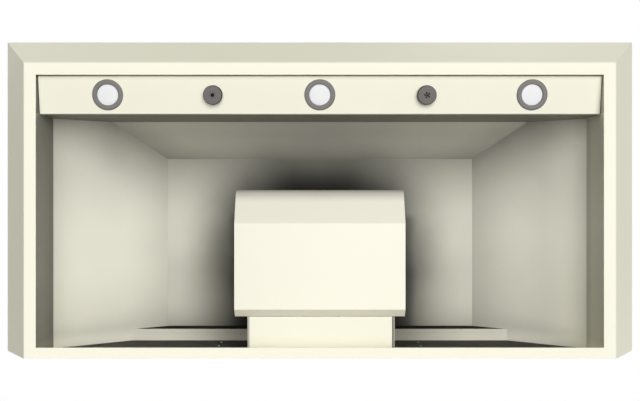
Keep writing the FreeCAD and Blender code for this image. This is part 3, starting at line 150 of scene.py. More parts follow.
class KnobShape(bpy.types.PropertyGroup):
    radius: length("Radius", "Knob radius", 18.3)
    height: length("Height", "Knob length", 11.5)
    gap: length("Gap", "Gap under the skirt", 1.2)
    wall: length("Wall", "Skirt wall", 2.6)
    cavity: length("Hollow", "Depth of the hollow behind", 4.0)
    shaft: length("Shaft", "Radius of the shaft bore", 3.06)
    seat: length("Seat", "Knob face to the end of the shaft", 3.0)
    ribs: IntProperty(name="Ribs", description="Number of grip ribs", default=48, min=12, max=90)
    rib_radius: length("Rib", "Radius of a grip rib", 0.62)
    rim: length("Rim", "Width of the dark rim round the face", 1.3)
    inlay: length("Inlay", "Depth of the face disc's seat", 0.8)
    mark_radius: length("Mark", "Reach of the mark on the face", 6.4)
    mark_height: length("Mark height", "Mark above the face", 0.12)


class ScrewShape(bpy.types.PropertyGroup):
    head: length("Head", "Head radius", 3.8)
    rise: length("Head height", "Head height", 2.0)
    shank: length("Shank", "Shank radius", 2.0)
    grip: length("Grip", "Length under the head", 6.0)
    recess: length("Recess", "Width of the cross recess", 0.9)
    seed: IntProperty(name="Seed", description="Seed of the turn of each screw", default=7, min=0)


class StageLight(bpy.types.PropertyGroup):
    key: FloatProperty(name="Key", description="Strength of the wide lamp below the hood", default=3.25)
    key_spread: FloatProperty(name="Key spread", description="Angle that the lamp below fills",
                              default=math.radians(52.0), subtype="ANGLE")
    key_side: FloatVectorProperty(name="Key side", description="Direction from the mouth to the lamp below",
                                  default=(0.145, -0.2, -0.985), subtype="DIRECTION")
    upper: power("Upper", "Power of each lamp above", 29.0)
    rear: power("Rear", "Power of the lamp behind the wall sheet", 32.0)
    fill: share("Fill", "Strength of the surrounding light", 0.06)
    pale: share("Floor tone", "Least paleness of the floor, which fades to white further out", 0.36)
    floor: length("Floor", "Height of the floor below the rim", -1800.0)
    eye: FloatVectorProperty(name="Camera", description="Place of the camera below the mouth",
                             default=(0.0003, -0.2934, -1.6478), subtype="TRANSLATION", unit="LENGTH")
    lens: FloatProperty(name="Lens", description="Focal length of the camera", default=50.0, unit="CAMERA")


class RangeHoodSettings(bpy.types.PropertyGroup):
    finishes: PointerProperty(type=HoodFinishes, name="Finishes", description="Colours")
    cover: PointerProperty(type=CoverShape, name="Blower cover", description="Blower cover sizes")
    lamp: PointerProperty(type=LampShape, name="Lamps", description="Lamp sizes")
    knob: PointerProperty(type=KnobShape, name="Knobs", description="Knob sizes")
    screw: PointerProperty(type=ScrewShape, name="Screws", description="Screw sizes")
    stage: PointerProperty(type=StageLight, name="Stage", description="Lamps, floor and camera")


def hood():
    return bpy.context.scene.range_hood


# Node building

def add_node(tree, kind, inputs=None, **settings):
    """One node; a socket given as input is linked, any other value is set."""
    node = tree.nodes.new(kind)
    for key, value in settings.items():
        setattr(node, key, value)
    for key, value in (inputs or {}).items():
        if isinstance(value, bpy.types.NodeSocket):
            tree.links.new(value, node.inputs[key])
        else:
            node.inputs[key].default_value = value
    return node


def clear_tree(holder):
    """Empty node tree of a material or a world."""
    holder.use_nodes = True
    holder.node_tree.nodes.clear()
    return holder.node_tree


def calc(tree, operation, first, second=0.0, clamp=False):
    node = add_node(tree, "ShaderNodeMath", {0: first, 1: second}, operation=operation, use_clamp=clamp)
    return node.outputs[0]


def plus(tree, value, extra, part):
    """A value and a part of another."""
    return calc(tree, "ADD", value, calc(tree, "MULTIPLY", extra, part))


def weigh(tree, first, second, part):
    """Two values mixed, the first by its part and the second by the rest."""
    return plus(tree, calc(tree, "MULTIPLY", first, part), second, 1.0 - part)


def ramp(tree, value, low, high, start=0.0, end=1.0):
    """Smooth change from start to end while the value goes from low to high."""
    node = add_node(tree, "ShaderNodeMapRange",
                    {"Value": value, "From Min": low, "From Max": high, "To Min": start, "To Max": end},
                    interpolation_type="SMOOTHSTEP")
    return node.outputs["Result"]


def mix(tree, factor, first, second):
    return add_node(tree, "ShaderNodeMix", {0: factor, 6: first, 7: second}, data_type="RGBA").outputs[2]


def vector_math(tree, operation, inputs):
    return add_node(tree, "ShaderNodeVectorMath", inputs, operation=operation).outputs


def point(tree, **parts):
    """Vector from its X, Y and Z."""
    return add_node(tree, "ShaderNodeCombineXYZ", parts).outputs[0]


def parts_of(tree, vector):
    return add_node(tree, "ShaderNodeSeparateXYZ", {0: vector}).outputs


def noise(tree, vector, scale, detail=2.0, rough=0.5):
    node = add_node(tree, "ShaderNodeTexNoise",
                    {"Vector": vector, "Scale": scale, "Detail": detail, "Roughness": rough})
    return node.outputs["Fac"]


def shade(tree, base, tone, depth):
    """Colour made darker and lighter by a tone that lies round one half."""
    shift = calc(tree, "MULTIPLY", calc(tree, "SUBTRACT", tone, 0.5), depth)
    return vector_math(tree, "SCALE", {0: base, "Scale": calc(tree, "ADD", shift, 1.0)})[0]


def object_place(tree):
    return tree.nodes.new("ShaderNodeTexCoord").outputs["Object"]


def rgba(value):
    return (value[0], value[1], value[2], 1.0)


def grey(value):
    return (value, value, value, 1.0)


def socket_kind(value):
    """Kind of socket that holds a value; a word is the kind itself."""
    if isinstance(value, str):
        return "NodeSocket" + value
    if isinstance(value, int):
        return "NodeSocketInt"
    if isinstance(value, float):
        return "NodeSocketFloat"
    return "NodeSocketColor" if len(value) == 4 else "NodeSocketVector"


def new_group(name, kind, inputs, outputs):
    """Node group with its input and output sockets; an input is given by its default or its kind."""
    tree = bpy.data.node_groups.new(name, kind)
    for label, value in inputs.items():
        item = tree.interface.new_socket(label, in_out="INPUT", socket_type=socket_kind(value))
        if not isinstance(value, str):
            item.default_value = value
    for label, value in outputs.items():
        tree.interface.new_socket(label, in_out="OUTPUT", socket_type=socket_kind(value))
    return tree, tree.nodes.new("NodeGroupInput").outputs, tree.nodes.new("NodeGroupOutput").inputs


def end_group(tree, result, **values):
    for label, value in values.items():
        tree.links.new(value, result[label])
    return tree


# Shader groups

# Default of a group's colours, and the outputs of surface groups and film groups.
# A film is painted shade: it copies the shade of the reference photograph, and stays under any light.
BASE = grey(0.5)
SURFACE = {"Colour": "Color", "Roughness": "Float", "Height": "Float"}
FILM = {"Colour": "Color", "Mask": "Float"}


def make_enamel_group():
    """Powder coat: soft tone drift, faint smudges and an orange peel skin."""
    tree, given, result = new_group("powder_coat", "ShaderNodeTree", {
        "Colour": BASE, "Drift": 0.03, "Peel": 850.0, "Gloss": 0.40}, SURFACE)
    place = object_place(tree)
    smudge = noise(tree, place, 42.0, 4.0, 0.6)
    tone = weigh(tree, noise(tree, place, 4.5, 3.0), smudge, 0.7)
    return end_group(tree, result, Colour=shade(tree, given["Colour"], tone, given["Drift"]),
                     Roughness=plus(tree, given["Gloss"], smudge, 0.12),
                     Height=noise(tree, place, given["Peel"], 1.0, 0.4))


def end_film(tree, given, result, fade):
    """Film laid over the colour by its fade and amount."""
    mask = calc(tree, "MULTIPLY", fade, given["Amount"], True)
    return end_group(tree, result, Colour=mix(tree, mask, given["Colour"], given["Film"]), Mask=mask)


def make_film_group():
    """Shade painted round the blower, darkest beside it and thinning outwards."""
    tree, given, result = new_group("blower_shade", "ShaderNodeTree", {
        "Colour": BASE, "Film": BASE, "Amount": 1.0, "Reach": 0.12, "Centre": 0.0, "Half Width": 0.163,
        "Front": -0.314, "Rear": -0.02}, FILM)
    place = object_place(tree)
    spot = parts_of(tree, place)
    sideways = calc(tree, "ABSOLUTE", calc(tree, "SUBTRACT", spot["X"], given["Centre"]))
    beside = calc(tree, "MAXIMUM", calc(tree, "SUBTRACT", sideways, given["Half Width"]), 0.0)
    ahead = calc(tree, "SUBTRACT", given["Front"], spot["Y"])
    behind = calc(tree, "SUBTRACT", spot["Y"], given["Rear"])
    along = calc(tree, "MAXIMUM", calc(tree, "MAXIMUM", ahead, behind), 0.0)
    away = calc(tree, "SQRT", plus(tree, calc(tree, "MULTIPLY", beside, beside), along, along))
    ripple = calc(tree, "SUBTRACT", noise(tree, place, 9.0, 3.0), 0.5)
    spread = calc(tree, "DIVIDE", plus(tree, away, ripple, 0.02), given["Reach"])
    return end_film(tree, given, result, ramp(tree, spread, 0.0, 1.0, 1.0, 0.0))


def make_grade_group():
    """Film that grows along one direction of the part, between two distances."""
    tree, given, result = new_group("graded_film", "ShaderNodeTree", {
        "Colour": BASE, "Film": BASE, "Amount": 1.0, "Axis": UPWARD, "Start": 0.0, "End": 1.0}, FILM)
    place = object_place(tree)
    reach = vector_math(tree, "DOT_PRODUCT", {0: place, 1: given["Axis"]})["Value"]
    patch = plus(tree, 0.92, noise(tree, place, 11.0, 3.0), 0.16)
    fade = calc(tree, "MULTIPLY", ramp(tree, reach, given["Start"], given["End"]), patch)
    return end_film(tree, given, result, fade)


def make_crevice_group():
    """Shade painted in corners and along joints."""
    tree, given, result = new_group("crevice_shade", "ShaderNodeTree", {
        "Colour": BASE, "Shade": BASE, "Amount": 0.6, "Distance": 0.03}, {"Colour": "Color"})
    sky = add_node(tree, "ShaderNodeAmbientOcclusion", {"Distance": given["Distance"]}, samples=8)
    hidden = calc(tree, "SUBTRACT", 1.0, sky.outputs["AO"])
    held = calc(tree, "MULTIPLY", hidden, given["Amount"], True)
    return end_group(tree, result, Colour=mix(tree, held, given["Colour"], given["Shade"]))


def make_turned_group():
    """Lathe lines round a turned part, read from its own UV map."""
    tree, given, result = new_group("turned_lines", "ShaderNodeTree", {
        "Colour": BASE, "Lines": 160.0, "Contrast": 0.25, "Gloss": 0.35}, SURFACE)
    spot = parts_of(tree, tree.nodes.new("ShaderNodeUVMap").outputs["UV"])
    swing = calc(tree, "MULTIPLY", spot["X"], 3.0)
    rows = calc(tree, "MULTIPLY", spot["Y"], given["Lines"])
    lines = noise(tree, point(tree, X=swing, Y=rows), 1.0, 3.0, 0.6)
    return end_group(tree, result, Colour=shade(tree, given["Colour"], lines, given["Contrast"]),
                     Roughness=plus(tree, given["Gloss"], lines, 0.2), Height=lines)


def make_spangle_group():
    """Crystal spangle and rolling streaks of galvanised sheet."""
    tree, given, result = new_group("zinc_spangle", "ShaderNodeTree", {
        "Colour": BASE, "Crystal": 85.0, "Contrast": 0.22, "Gloss": 0.32}, SURFACE)
    place = object_place(tree)
    wobble = add_node(tree, "ShaderNodeTexNoise", {"Vector": place, "Scale": 60.0, "Detail": 2.0})
    small = vector_math(tree, "SCALE", {0: wobble.outputs["Color"], "Scale": 0.012})[0]
    bent = vector_math(tree, "ADD", {0: place, 1: small})[0]
    cells = add_node(tree, "ShaderNodeTexVoronoi", {"Vector": bent, "Scale": given["Crystal"]})
    grain = add_node(tree, "ShaderNodeSeparateColor", {0: cells.outputs["Color"]}).outputs[0]
    tone = weigh(tree, grain, noise(tree, place, 14.0, 4.0, 0.6), 0.65)
    return end_group(tree, result, Colour=shade(tree, given["Colour"], tone, given["Contrast"]),
                     Roughness=plus(tree, given["Gloss"], tone, 0.22), Height=grain)


def make_grain_group():
    """Fine moulded or blasted grain."""
    tree, given, result = new_group("fine_grain", "ShaderNodeTree", {
        "Colour": BASE, "Grain": 1400.0, "Contrast": 0.2, "Gloss": 0.45}, SURFACE)
    place = object_place(tree)
    fine = noise(tree, place, given["Grain"])
    wide = noise(tree, place, 30.0, 3.0)
    tone = weigh(tree, fine, wide, 0.5)
    return end_group(tree, result, Colour=shade(tree, given["Colour"], tone, given["Contrast"]),
                     Roughness=plus(tree, given["Gloss"], wide, 0.12), Height=fine)


GROUPS = {
    "powder_coat": make_enamel_group,
    "blower_shade": make_film_group,
    "graded_film": make_grade_group,
    "crevice_shade": make_crevice_group,
    "turned_lines": make_turned_group,
    "zinc_spangle": make_spangle_group,
    "fine_grain": make_grain_group,
}


# Finishes

def place_group(tree, name, inputs):
    group = bpy.data.node_groups.get(name) or GROUPS[name]()
    return add_node(tree, "ShaderNodeGroup", inputs, node_tree=group)


def lay_film(tree, tone, group, values):
    """One film over a colour; a film given within another is limited to that one's mask."""
    values = dict(values)
    limit = values.pop("within", None)
    if limit:
        values["Amount"] = place_group(tree, "graded_film", limit).outputs["Mask"]
    return place_group(tree, group, {"Colour": tone, **values}).outputs["Colour"]


def finish(name, skin, inputs, bump=0.02, depth=0.2 * MM, films=(), crevice=None, **plain):
    """Material from one surface group, painted shade over it, and a Principled shader."""
    material = bpy.data.materials.get(name)
    if material:
        return material
    material = bpy.data.materials.new(name)
    tree = clear_tree(material)
    surface = place_group(tree, skin, inputs).outputs
    tone = surface["Colour"]
    for group, values in films:
        tone = lay_film(tree, tone, group, values)
    if crevice:
        tone = place_group(tree, "crevice_shade", {"Colour": tone, **crevice}).outputs["Colour"]
    relief = add_node(tree, "ShaderNodeBump",
                      {"Strength": bump, "Distance": depth, "Height": surface["Height"]})
    shader = add_node(tree, "ShaderNodeBsdfPrincipled", {
        "Base Color": tone, "Roughness": surface["Roughness"], "Normal": relief.outputs[0]})
    for key, value in plain.items():
        shader.inputs[key.replace("_", " ")].default_value = value
    add_node(tree, "ShaderNodeOutputMaterial", {"Surface": shader.outputs[0]})
    return material


def enamel(name, value, films=(), crevice=None, shine=0.5):
    return finish(name, "powder_coat", {"Colour": rgba(value)}, bump=0.10, depth=0.1 * MM, films=films,
                  crevice=crevice, Specular_IOR_Level=shine)


def turned(name, value, **look):
    return finish(name, "turned_lines", {"Colour": rgba(value), **look}, bump=0.15, depth=0.1 * MM)


def grained(name, value, gloss=0.45, contrast=0.2, bump=0.1, **plain):
    return finish(name, "fine_grain", {"Colour": rgba(value), "Gloss": gloss, "Contrast": contrast},
                  bump=bump, **plain)


def halo(amount, reach, **values):
    """Shade painted round the blower."""
    film = {"Film": rgba(hood().finishes.shadow), "Amount": amount, "Reach": reach}
    for key, value in values.items():
        film[key.replace("_", " ").title()] = value
    return ("blower_shade", film)


def grade(amount, axis, start, end, within=None, tint=None):
    """Film that grows along an axis, in metres; within is the axis, start and end of a second limit."""
    film = {"Film": rgba(tint or hood().finishes.shadow), "Amount": amount, "Axis": axis, "Start": start,
            "End": end}
    if within:
        film["within"] = {"Amount": amount, "Axis": within[0], "Start": within[1], "End": within[2]}
    return ("graded_film", film)


def paint(names, material):
    """Puts a material on CAD nodes."""
    for name in names:
        node = NODES[name]
        if not node.material_slots:
            node.data.materials.append(material)
        for slot in node.material_slots:
            slot.material = material


# Mesh building

def add_object(name, data):
    item = bpy.data.objects.new(name, data)
    bpy.context.scene.collection.objects.link(item)
    return item


def to_mesh(name, shape, matrix=None):
    """Plain mesh from a bmesh, which is freed."""
    mesh = bpy.data.meshes.new(name)
    shape.to_mesh(mesh)
    shape.free()
    if matrix:
        mesh.transform(matrix)
    return mesh


def applied(holder):
    """Plain mesh of an object with its modifiers; the object goes."""
    graph = bpy.context.evaluated_depsgraph_get()
    mesh = bpy.data.meshes.new_from_object(holder.evaluated_get(graph))
    holder.modifiers.clear()
    bpy.data.objects.remove(holder)
    return mesh


def finish_mesh(name, mesh, material, body, slot, nodes=(), angle=32.0):
    """Object from a mesh, shaded, riding on its body and standing for its CAD nodes."""
    mesh.materials.clear()
    mesh.materials.append(material)
    for face in mesh.polygons:
        face.use_smooth = True
    mesh.set_sharp_from_angle(angle=math.radians(angle))
    piece = add_object(name, mesh)
    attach(piece, body)
    if nodes:
        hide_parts(*nodes)


def circle(radius, count, centre=(0.0, 0.0), start=0.0):
    """Points at equal steps round a centre."""
    points = []
    for step in range(count):
        angle = start + 2 * math.pi * step / count
        points.append((centre[0] + radius * math.cos(angle), centre[1] + radius * math.sin(angle)))
    return points


def round_corners(corners, steps=5, most=0.49):
    """Closed outline of rounded (across, up, radius) corners; most limits a rounding's share of a side."""
    outline = []
    count = len(corners)
    for index, (across, up, radius) in enumerate(corners):
        here = Vector((across, up))
        back = Vector(corners[index - 1][:2]) - here
        ahead = Vector(corners[(index + 1) % count][:2]) - here
        if radius <= 0.0:
            outline.append(here)
            continue
        half = back.angle(ahead) / 2
        reach = min(radius / math.tan(half), most * back.length, most * ahead.length)
        radius = reach * math.tan(half)
        middle = (back.normalized() + ahead.normalized()).normalized()
        centre = here + middle * (radius / math.sin(half))
        start = here + back.normalized() * reach - centre
        end = here + ahead.normalized() * reach - centre
        sweep = math.pi - 2 * half
        if start.x * end.y - start.y * end.x < 0:
            sweep = -sweep
        for step in range(steps + 1):
            outline.append(centre + Matrix.Rotation(sweep * step / steps, 2) @ start)
    return outline


def turn_outline(name, outline, matrix, segments=96):
    """Mesh turned round local Z from a closed (radius, height) outline; UV runs round and along it."""
    shape = bmesh.new()
    flat = shape.loops.layers.uv.new("turned")
    on_axis = 1e-7
    count = len(outline)
    run = [0.0]
    for index in range(1, count + 1):
        run.append(run[-1] + (outline[index % count] - outline[index - 1]).length)
    rings = []
    for radius, height in outline:
        if radius < on_axis:
            rings.append([shape.verts.new((0.0, 0.0, height))] * segments)
        else:
            rings.append([shape.verts.new((x, y, height)) for x, y in circle(radius, segments)])
    for index in range(count):
        here = rings[index]
        after = rings[(index + 1) % count]
        for step in range(segments):
            turn = (step + 1) % segments
            kept = []
            for vert, around, along in ((here[step], step, index), (here[turn], step + 1, index),
                                        (after[turn], step + 1, index + 1), (after[step], step, index + 1)):
                if vert not in [item[0] for item in kept]:
                    kept.append((vert, (around / segments, run[along] / run[-1])))
            if len(kept) < 3:
                continue
            face = shape.faces.new([vert for vert, uv in kept])
            for loop, (vert, uv) in zip(face.loops, kept):
                loop[flat].uv = uv
    bmesh.ops.recalc_face_normals(shape, faces=shape.faces)
    return to_mesh(name, shape, matrix)


def turned_piece(name, outline, place, *rest):
    finish_mesh(name, turn_outline(name, outline, place), *rest)


def panel_place(across):
    """Frame on the light panel's face, Z up through the sheet, X along the wall."""
    joint = JOINTS["light_knob_turn"]
    lean = Vector(UPWARD).rotation_difference(-Vector(joint["axis"]))
    spot = (across, joint["pos_m"][1], joint["pos_m"][2])
    return Matrix.Translation(spot) @ lean.to_matrix().to_4x4()


def centre_x(node):
    low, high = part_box(node)
    return (low[0] + high[0]) / 2


# Geometry Nodes trees

def moved(tree, shape, **change):
    """Geometry after a Translation or a Scale."""
    return add_node(tree, "GeometryNodeTransform", {"Geometry": shape, **change}).outputs[0]


def block(tree, **size):
    return add_node(tree, "GeometryNodeMeshCube", {"Size": point(tree, **size)}).outputs["Mesh"]


def ball(tree, segments, rings, **size):
    sphere = add_node(tree, "GeometryNodeMeshUVSphere", {"Segments": segments, "Rings": rings, "Radius": 1.0})
    return moved(tree, sphere.outputs["Mesh"], Scale=point(tree, **size))


def cut(tree, shape, tool):
    return add_node(tree, "GeometryNodeMeshBoolean", {0: shape, 1: tool}, operation="DIFFERENCE").outputs[0]


def end_tree(tree, result, instances, material):
    real = add_node(tree, "GeometryNodeRealizeInstances", {0: instances})
    coated = add_node(tree, "GeometryNodeSetMaterial", {"Geometry": real.outputs[0], "Material": material})
    return end_group(tree, result, Geometry=coated.outputs[0])


def make_screw_tree():
    """Round head screws with a cross recess, one on each point, turned at random."""
    tree, size, result = new_group("cross_head_screws", "GeometryNodeTree", {
        "Points": "Geometry", "Head Radius": 0.0038, "Head Height": 0.002, "Shank Radius": 0.002,
        "Shank Length": 0.006, "Recess": 0.0009, "Twist": 6.2832, "Seed": 0, "Material": "Material"},
        {"Geometry": "Geometry"})
    radius = size["Head Radius"]
    height = size["Head Height"]
    dome = ball(tree, 28, 14, X=radius, Y=radius, Z=height)
    wide = calc(tree, "MULTIPLY", radius, 4.0)
    below = point(tree, Z=calc(tree, "MULTIPLY", wide, -0.5))
    head = cut(tree, dome, moved(tree, block(tree, X=wide, Y=wide, Z=wide), Translation=below))
    span = calc(tree, "MULTIPLY", radius, 1.15)
    deep = calc(tree, "MULTIPLY", height, 1.1)
    lift = point(tree, Z=height)
    bars = []
    for first, second in ((span, size["Recess"]), (size["Recess"], span)):
        bars.append(moved(tree, block(tree, X=first, Y=second, Z=deep), Translation=lift))
    cross = add_node(tree, "GeometryNodeMeshBoolean", {1: bars[0]}, operation="UNION")
    tree.links.new(bars[1], cross.inputs[1])
    rod = add_node(tree, "GeometryNodeMeshCylinder",
                   {"Vertices": 20, "Radius": size["Shank Radius"], "Depth": size["Shank Length"]})
    drop = point(tree, Z=calc(tree, "MULTIPLY", size["Shank Length"], -0.5))
    whole = add_node(tree, "GeometryNodeJoinGeometry", {0: cut(tree, head, cross.outputs[0])})
    tree.links.new(moved(tree, rod.outputs["Mesh"], Translation=drop), whole.inputs[0])
    axis = add_node(tree, "GeometryNodeInputNamedAttribute", {"Name": "screw_axis"}, data_type="FLOAT_VECTOR")
    aim = add_node(tree, "FunctionNodeAlignRotationToVector", {"Vector": axis.outputs[0]}, axis="Z")
    spread = add_node(tree, "GeometryNodeInstanceOnPoints",
                      {"Points": size["Points"], "Instance": whole.outputs[0], "Rotation": aim.outputs[0]})
    chance = add_node(tree, "FunctionNodeRandomValue", {"Max": size["Twist"], "Seed": size["Seed"]},
                      data_type="FLOAT")
    twist = add_node(tree, "GeometryNodeRotateInstances", {
        "Instances": spread.outputs[0], "Rotation": point(tree, Z=chance.outputs[1]), "Local Space": True})
    return end_tree(tree, result, twist.outputs[0], size["Material"])


def make_rib_tree():
    """Grip ribs in a ring round local Z."""
    tree, size, result = new_group("grip_ribs", "GeometryNodeTree", {
        "Count": 48, "Radius": 0.018, "Rib Radius": 0.0006, "Rib Length": 0.007, "Middle": 0.0,
        "Material": "Material"}, {"Geometry": "Geometry"})
    ring = add_node(tree, "GeometryNodeMeshCircle", {"Vertices": size["Count"], "Radius": size["Radius"]})
    half = calc(tree, "MULTIPLY", size["Rib Length"], 0.5)
    rib = ball(tree, 8, 6, X=size["Rib Radius"], Y=size["Rib Radius"], Z=half)
    spread = add_node(tree, "GeometryNodeInstanceOnPoints", {"Points": ring.outputs["Mesh"], "Instance": rib})
    lifted = moved(tree, spread.outputs[0], Translation=point(tree, Z=size["Middle"]))
    return end_tree(tree, result, lifted, size["Material"])


def grow(name, tree, values, points=None):
    """Plain mesh from a Geometry Nodes tree, its inputs given by name."""
    holder = add_object(name + "_seed", points or bpy.data.meshes.new(name + "_seed"))
    modifier = holder.modifiers.new("grow", "NODES")
    modifier.node_group = tree
    for item in tree.interface.items_tree:
        if item.in_out == "INPUT" and item.name in values:
            modifier[item.identifier] = values[item.name]
    mesh = applied(holder)
    if not mesh.polygons:
        raise RuntimeError(name + " grew no faces")
    mesh.name = name
    return mesh


# Operators

class RANGEHOOD_OT_canopy(bpy.types.Operator):
    """Enamel on the flared lip, rim, canopy sheets and wall sheet, with painted shade above the rim and on
    the wall sheet's inner face
    """
    bl_idname = "range_hood.canopy"
    bl_label = "Paint canopy"

    def execute(self, context):
        finishes = hood().finishes
        # Painted shade: every canopy sheet above the flat rim is a little darker and warmer than the rim.
        flare = grade(0.15, UPWARD, 0.0015, 0.006, tint=finishes.lip_shade)
        paint(CANOPY_NODES, enamel("canopy_enamel", finishes.canopy, [flare], shine=0.25))
        # Painted shade: the wall sheet's inner face darkens to near black from 85 mm to 134 mm up, where it
        # lies in shade.
        inside = grade(1.2, UPWARD, 0.085, 0.134, (TO_FRONT, 0.0003, 0.0009))
        paint(("back_panel",), enamel("wall_sheet_enamel", finishes.wall, [inside], shine=0.05))
        return {"FINISHED"}


# Limits of the liner's films: the upright skirt below its slopes, and the light strip along the wall.
SKIRT = 0.108
ON_SKIRT = (DOWNWARD, -SKIRT - 0.002, -SKIRT + 0.002)
OFF_SKIRT = (UPWARD, SKIRT - 0.002, SKIRT + 0.002)
OFF_WALL = (TO_FRONT, 0.004, 0.034)


def ceiling_films():
    """Shade round the blower, towards the front and along the wall."""
    return [
        halo(1.0, 0.165, half_width=0.147, front=-0.128),
        halo(1.06, 0.17, half_width=0.045, front=-0.29, rear=-0.283),
        halo(0.8, 0.17, half_width=0.134, front=-0.279, rear=-0.237),
        halo(0.45, 0.022, centre=0.006, half_width=0.181, front=-0.25),
        grade(0.47, TO_FRONT, 0.24, 0.45),
        grade(0.14, TO_WALL, -0.21, -0.14, (TO_LEFT, -0.15, 0.15)),
        grade(0.09, TO_WALL, -0.21, -0.14, (TO_RIGHT, 0.22, 0.30)),
        grade(0.12, TO_WALL, -0.09, 0.02),
        grade(0.12, TO_WALL, -0.09, 0.02, (TO_LEFT, -0.2, 0.2)),
    ]


def front_films(valley, fold):
    """Shade up the front slope, into its two valleys and towards the blower."""
    return [
        grade(0.36, TO_WALL, -0.475, -0.426),
        grade(0.445, TO_WALL, -0.431, -0.357),
        grade(0.24, (-valley.y, valley.x, 0.0), fold - 0.067, fold),
        grade(0.20, (valley.y, valley.x, 0.0), fold - 0.067, fold),
        halo(0.25, 0.264, half_width=0.0),
        halo(0.60, 0.107, half_width=0.10),
    ]


def rail_films():
    """Shade beside the blower, and on the front and upper parts of the rail."""
    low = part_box("rear_rail")[0][2]
    return [
        halo(0.53, 0.165),
        grade(0.12, TO_RIGHT, 0.10, 0.14, (TO_LEFT, -0.24, -0.17)),
        grade(0.17, TO_FRONT, 0.002, 0.022),
        grade(0.94, UPWARD, low + 0.003, low + 0.006),
    ]


def left_films(valley, fold, panel_gap):
    """Shade towards the front and the ceiling, into the valley, and deep on the skirt."""
    return [
        grade(0.175, *OFF_WALL),
        grade(0.186, TO_WALL, -0.167, -0.02, OFF_WALL),
        grade(0.245, TO_FRONT, 0.228, 0.403, OFF_SKIRT),
        grade(0.26, TO_FRONT, 0.217, 0.50, (TO_RIGHT, -0.474, -0.41)),
        grade(0.30, TO_RIGHT, -0.412, -0.30),
        grade(0.11, (valley.y, -valley.x, 0.0), -fold - 0.03, -fold),
        grade(0.50, *ON_SKIRT),
        grade(0.40, UPWARD, 0.02, 0.115, ON_SKIRT),
        grade(0.62, *panel_gap),
    ]


def right_films(valley, fold, panel_gap):
    """Shade towards the front and the ceiling, into the valley, and faint on the skirt."""
    return [
        grade(0.19, TO_LEFT, -0.51, -0.45, OFF_WALL),
        grade(0.186, TO_WALL, -0.26, -0.02, OFF_WALL),
        grade(0.21, TO_FRONT, 0.203, 0.438, OFF_SKIRT),
        grade(0.475, TO_FRONT, 0.233, 0.50, (TO_LEFT, -0.53, -0.378)),
        grade(0.345, TO_LEFT, -0.426, -0.30),
        grade(0.11, (-valley.y, -valley.x, 0.0), -fold - 0.03, -fold),
        grade(0.18, UPWARD, 0.065, 0.10, ON_SKIRT),
        grade(0.50, *panel_gap),
    ]


class RANGEHOOD_OT_liner(bpy.types.Operator):
    """Enamel and painted shade on the liner"""
    bl_idname = "range_hood.liner"
    bl_label = "Paint liner"

    def execute(self, context):
        finishes = hood().finishes
        crevice = {"Shade": rgba(finishes.shadow), "Amount": 0.12, "Distance": 0.03}
        beside_panel = -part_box("light_panel")[1][1]
        panel_gap = (TO_FRONT, beside_panel, beside_panel + 0.003, ON_SKIRT)
        # The left valley runs from the skirt's front corner to the ceiling's; fold is how far it passes
        # from the middle of the wall. The right valley mirrors it.
        corner = Vector((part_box("lip_left")[1][0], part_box("lip_front")[1][1]))
        valley = (Vector(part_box("liner_ceiling")[0][:2]) - corner).normalized()
        fold = valley.x * corner.y - valley.y * corner.x
        left = left_films(valley, fold, panel_gap)
        right = right_films(valley, fold, panel_gap)
        front = front_films(valley, fold)
        paint(("liner_ceiling",), enamel("ceiling_enamel", finishes.ceiling, ceiling_films(), crevice, 0.05))
        paint(("liner_front",), enamel("liner_front_enamel", finishes.slope, front, crevice, 0.3))
        paint(("rear_rail",), enamel("rail_enamel", finishes.rail, rail_films(), shine=0.0))
        paint(("liner_left",), enamel("liner_left_enamel", finishes.liner, left, shine=0.3))
        paint(("liner_right",), enamel("liner_right_enamel", finishes.liner, right))
        return {"FINISHED"}


class RANGEHOOD_OT_light_panel(bpy.types.Operator):
    """Enamel on the tilted light and control panel, with painted shade on its upright rear return"""
    bl_idname = "range_hood.light_panel"
    bl_label = "Paint light panel"

    def execute(self, context):
        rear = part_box("light_panel")[1][1]
        upright = (TO_WALL, rear - 0.0016, rear - 0.0009)
        # Painted shade: the upright return along the panel's rear edge is dark, and darker still towards both
        # ends.
        paint(("light_panel",), enamel("panel_enamel", hood().finishes.panel, [
            grade(0.665, *upright), grade(0.35, TO_LEFT, 0.05, 0.28, upright),
            grade(0.26, TO_RIGHT, 0.05, 0.28, upright)]))
        return {"FINISHED"}


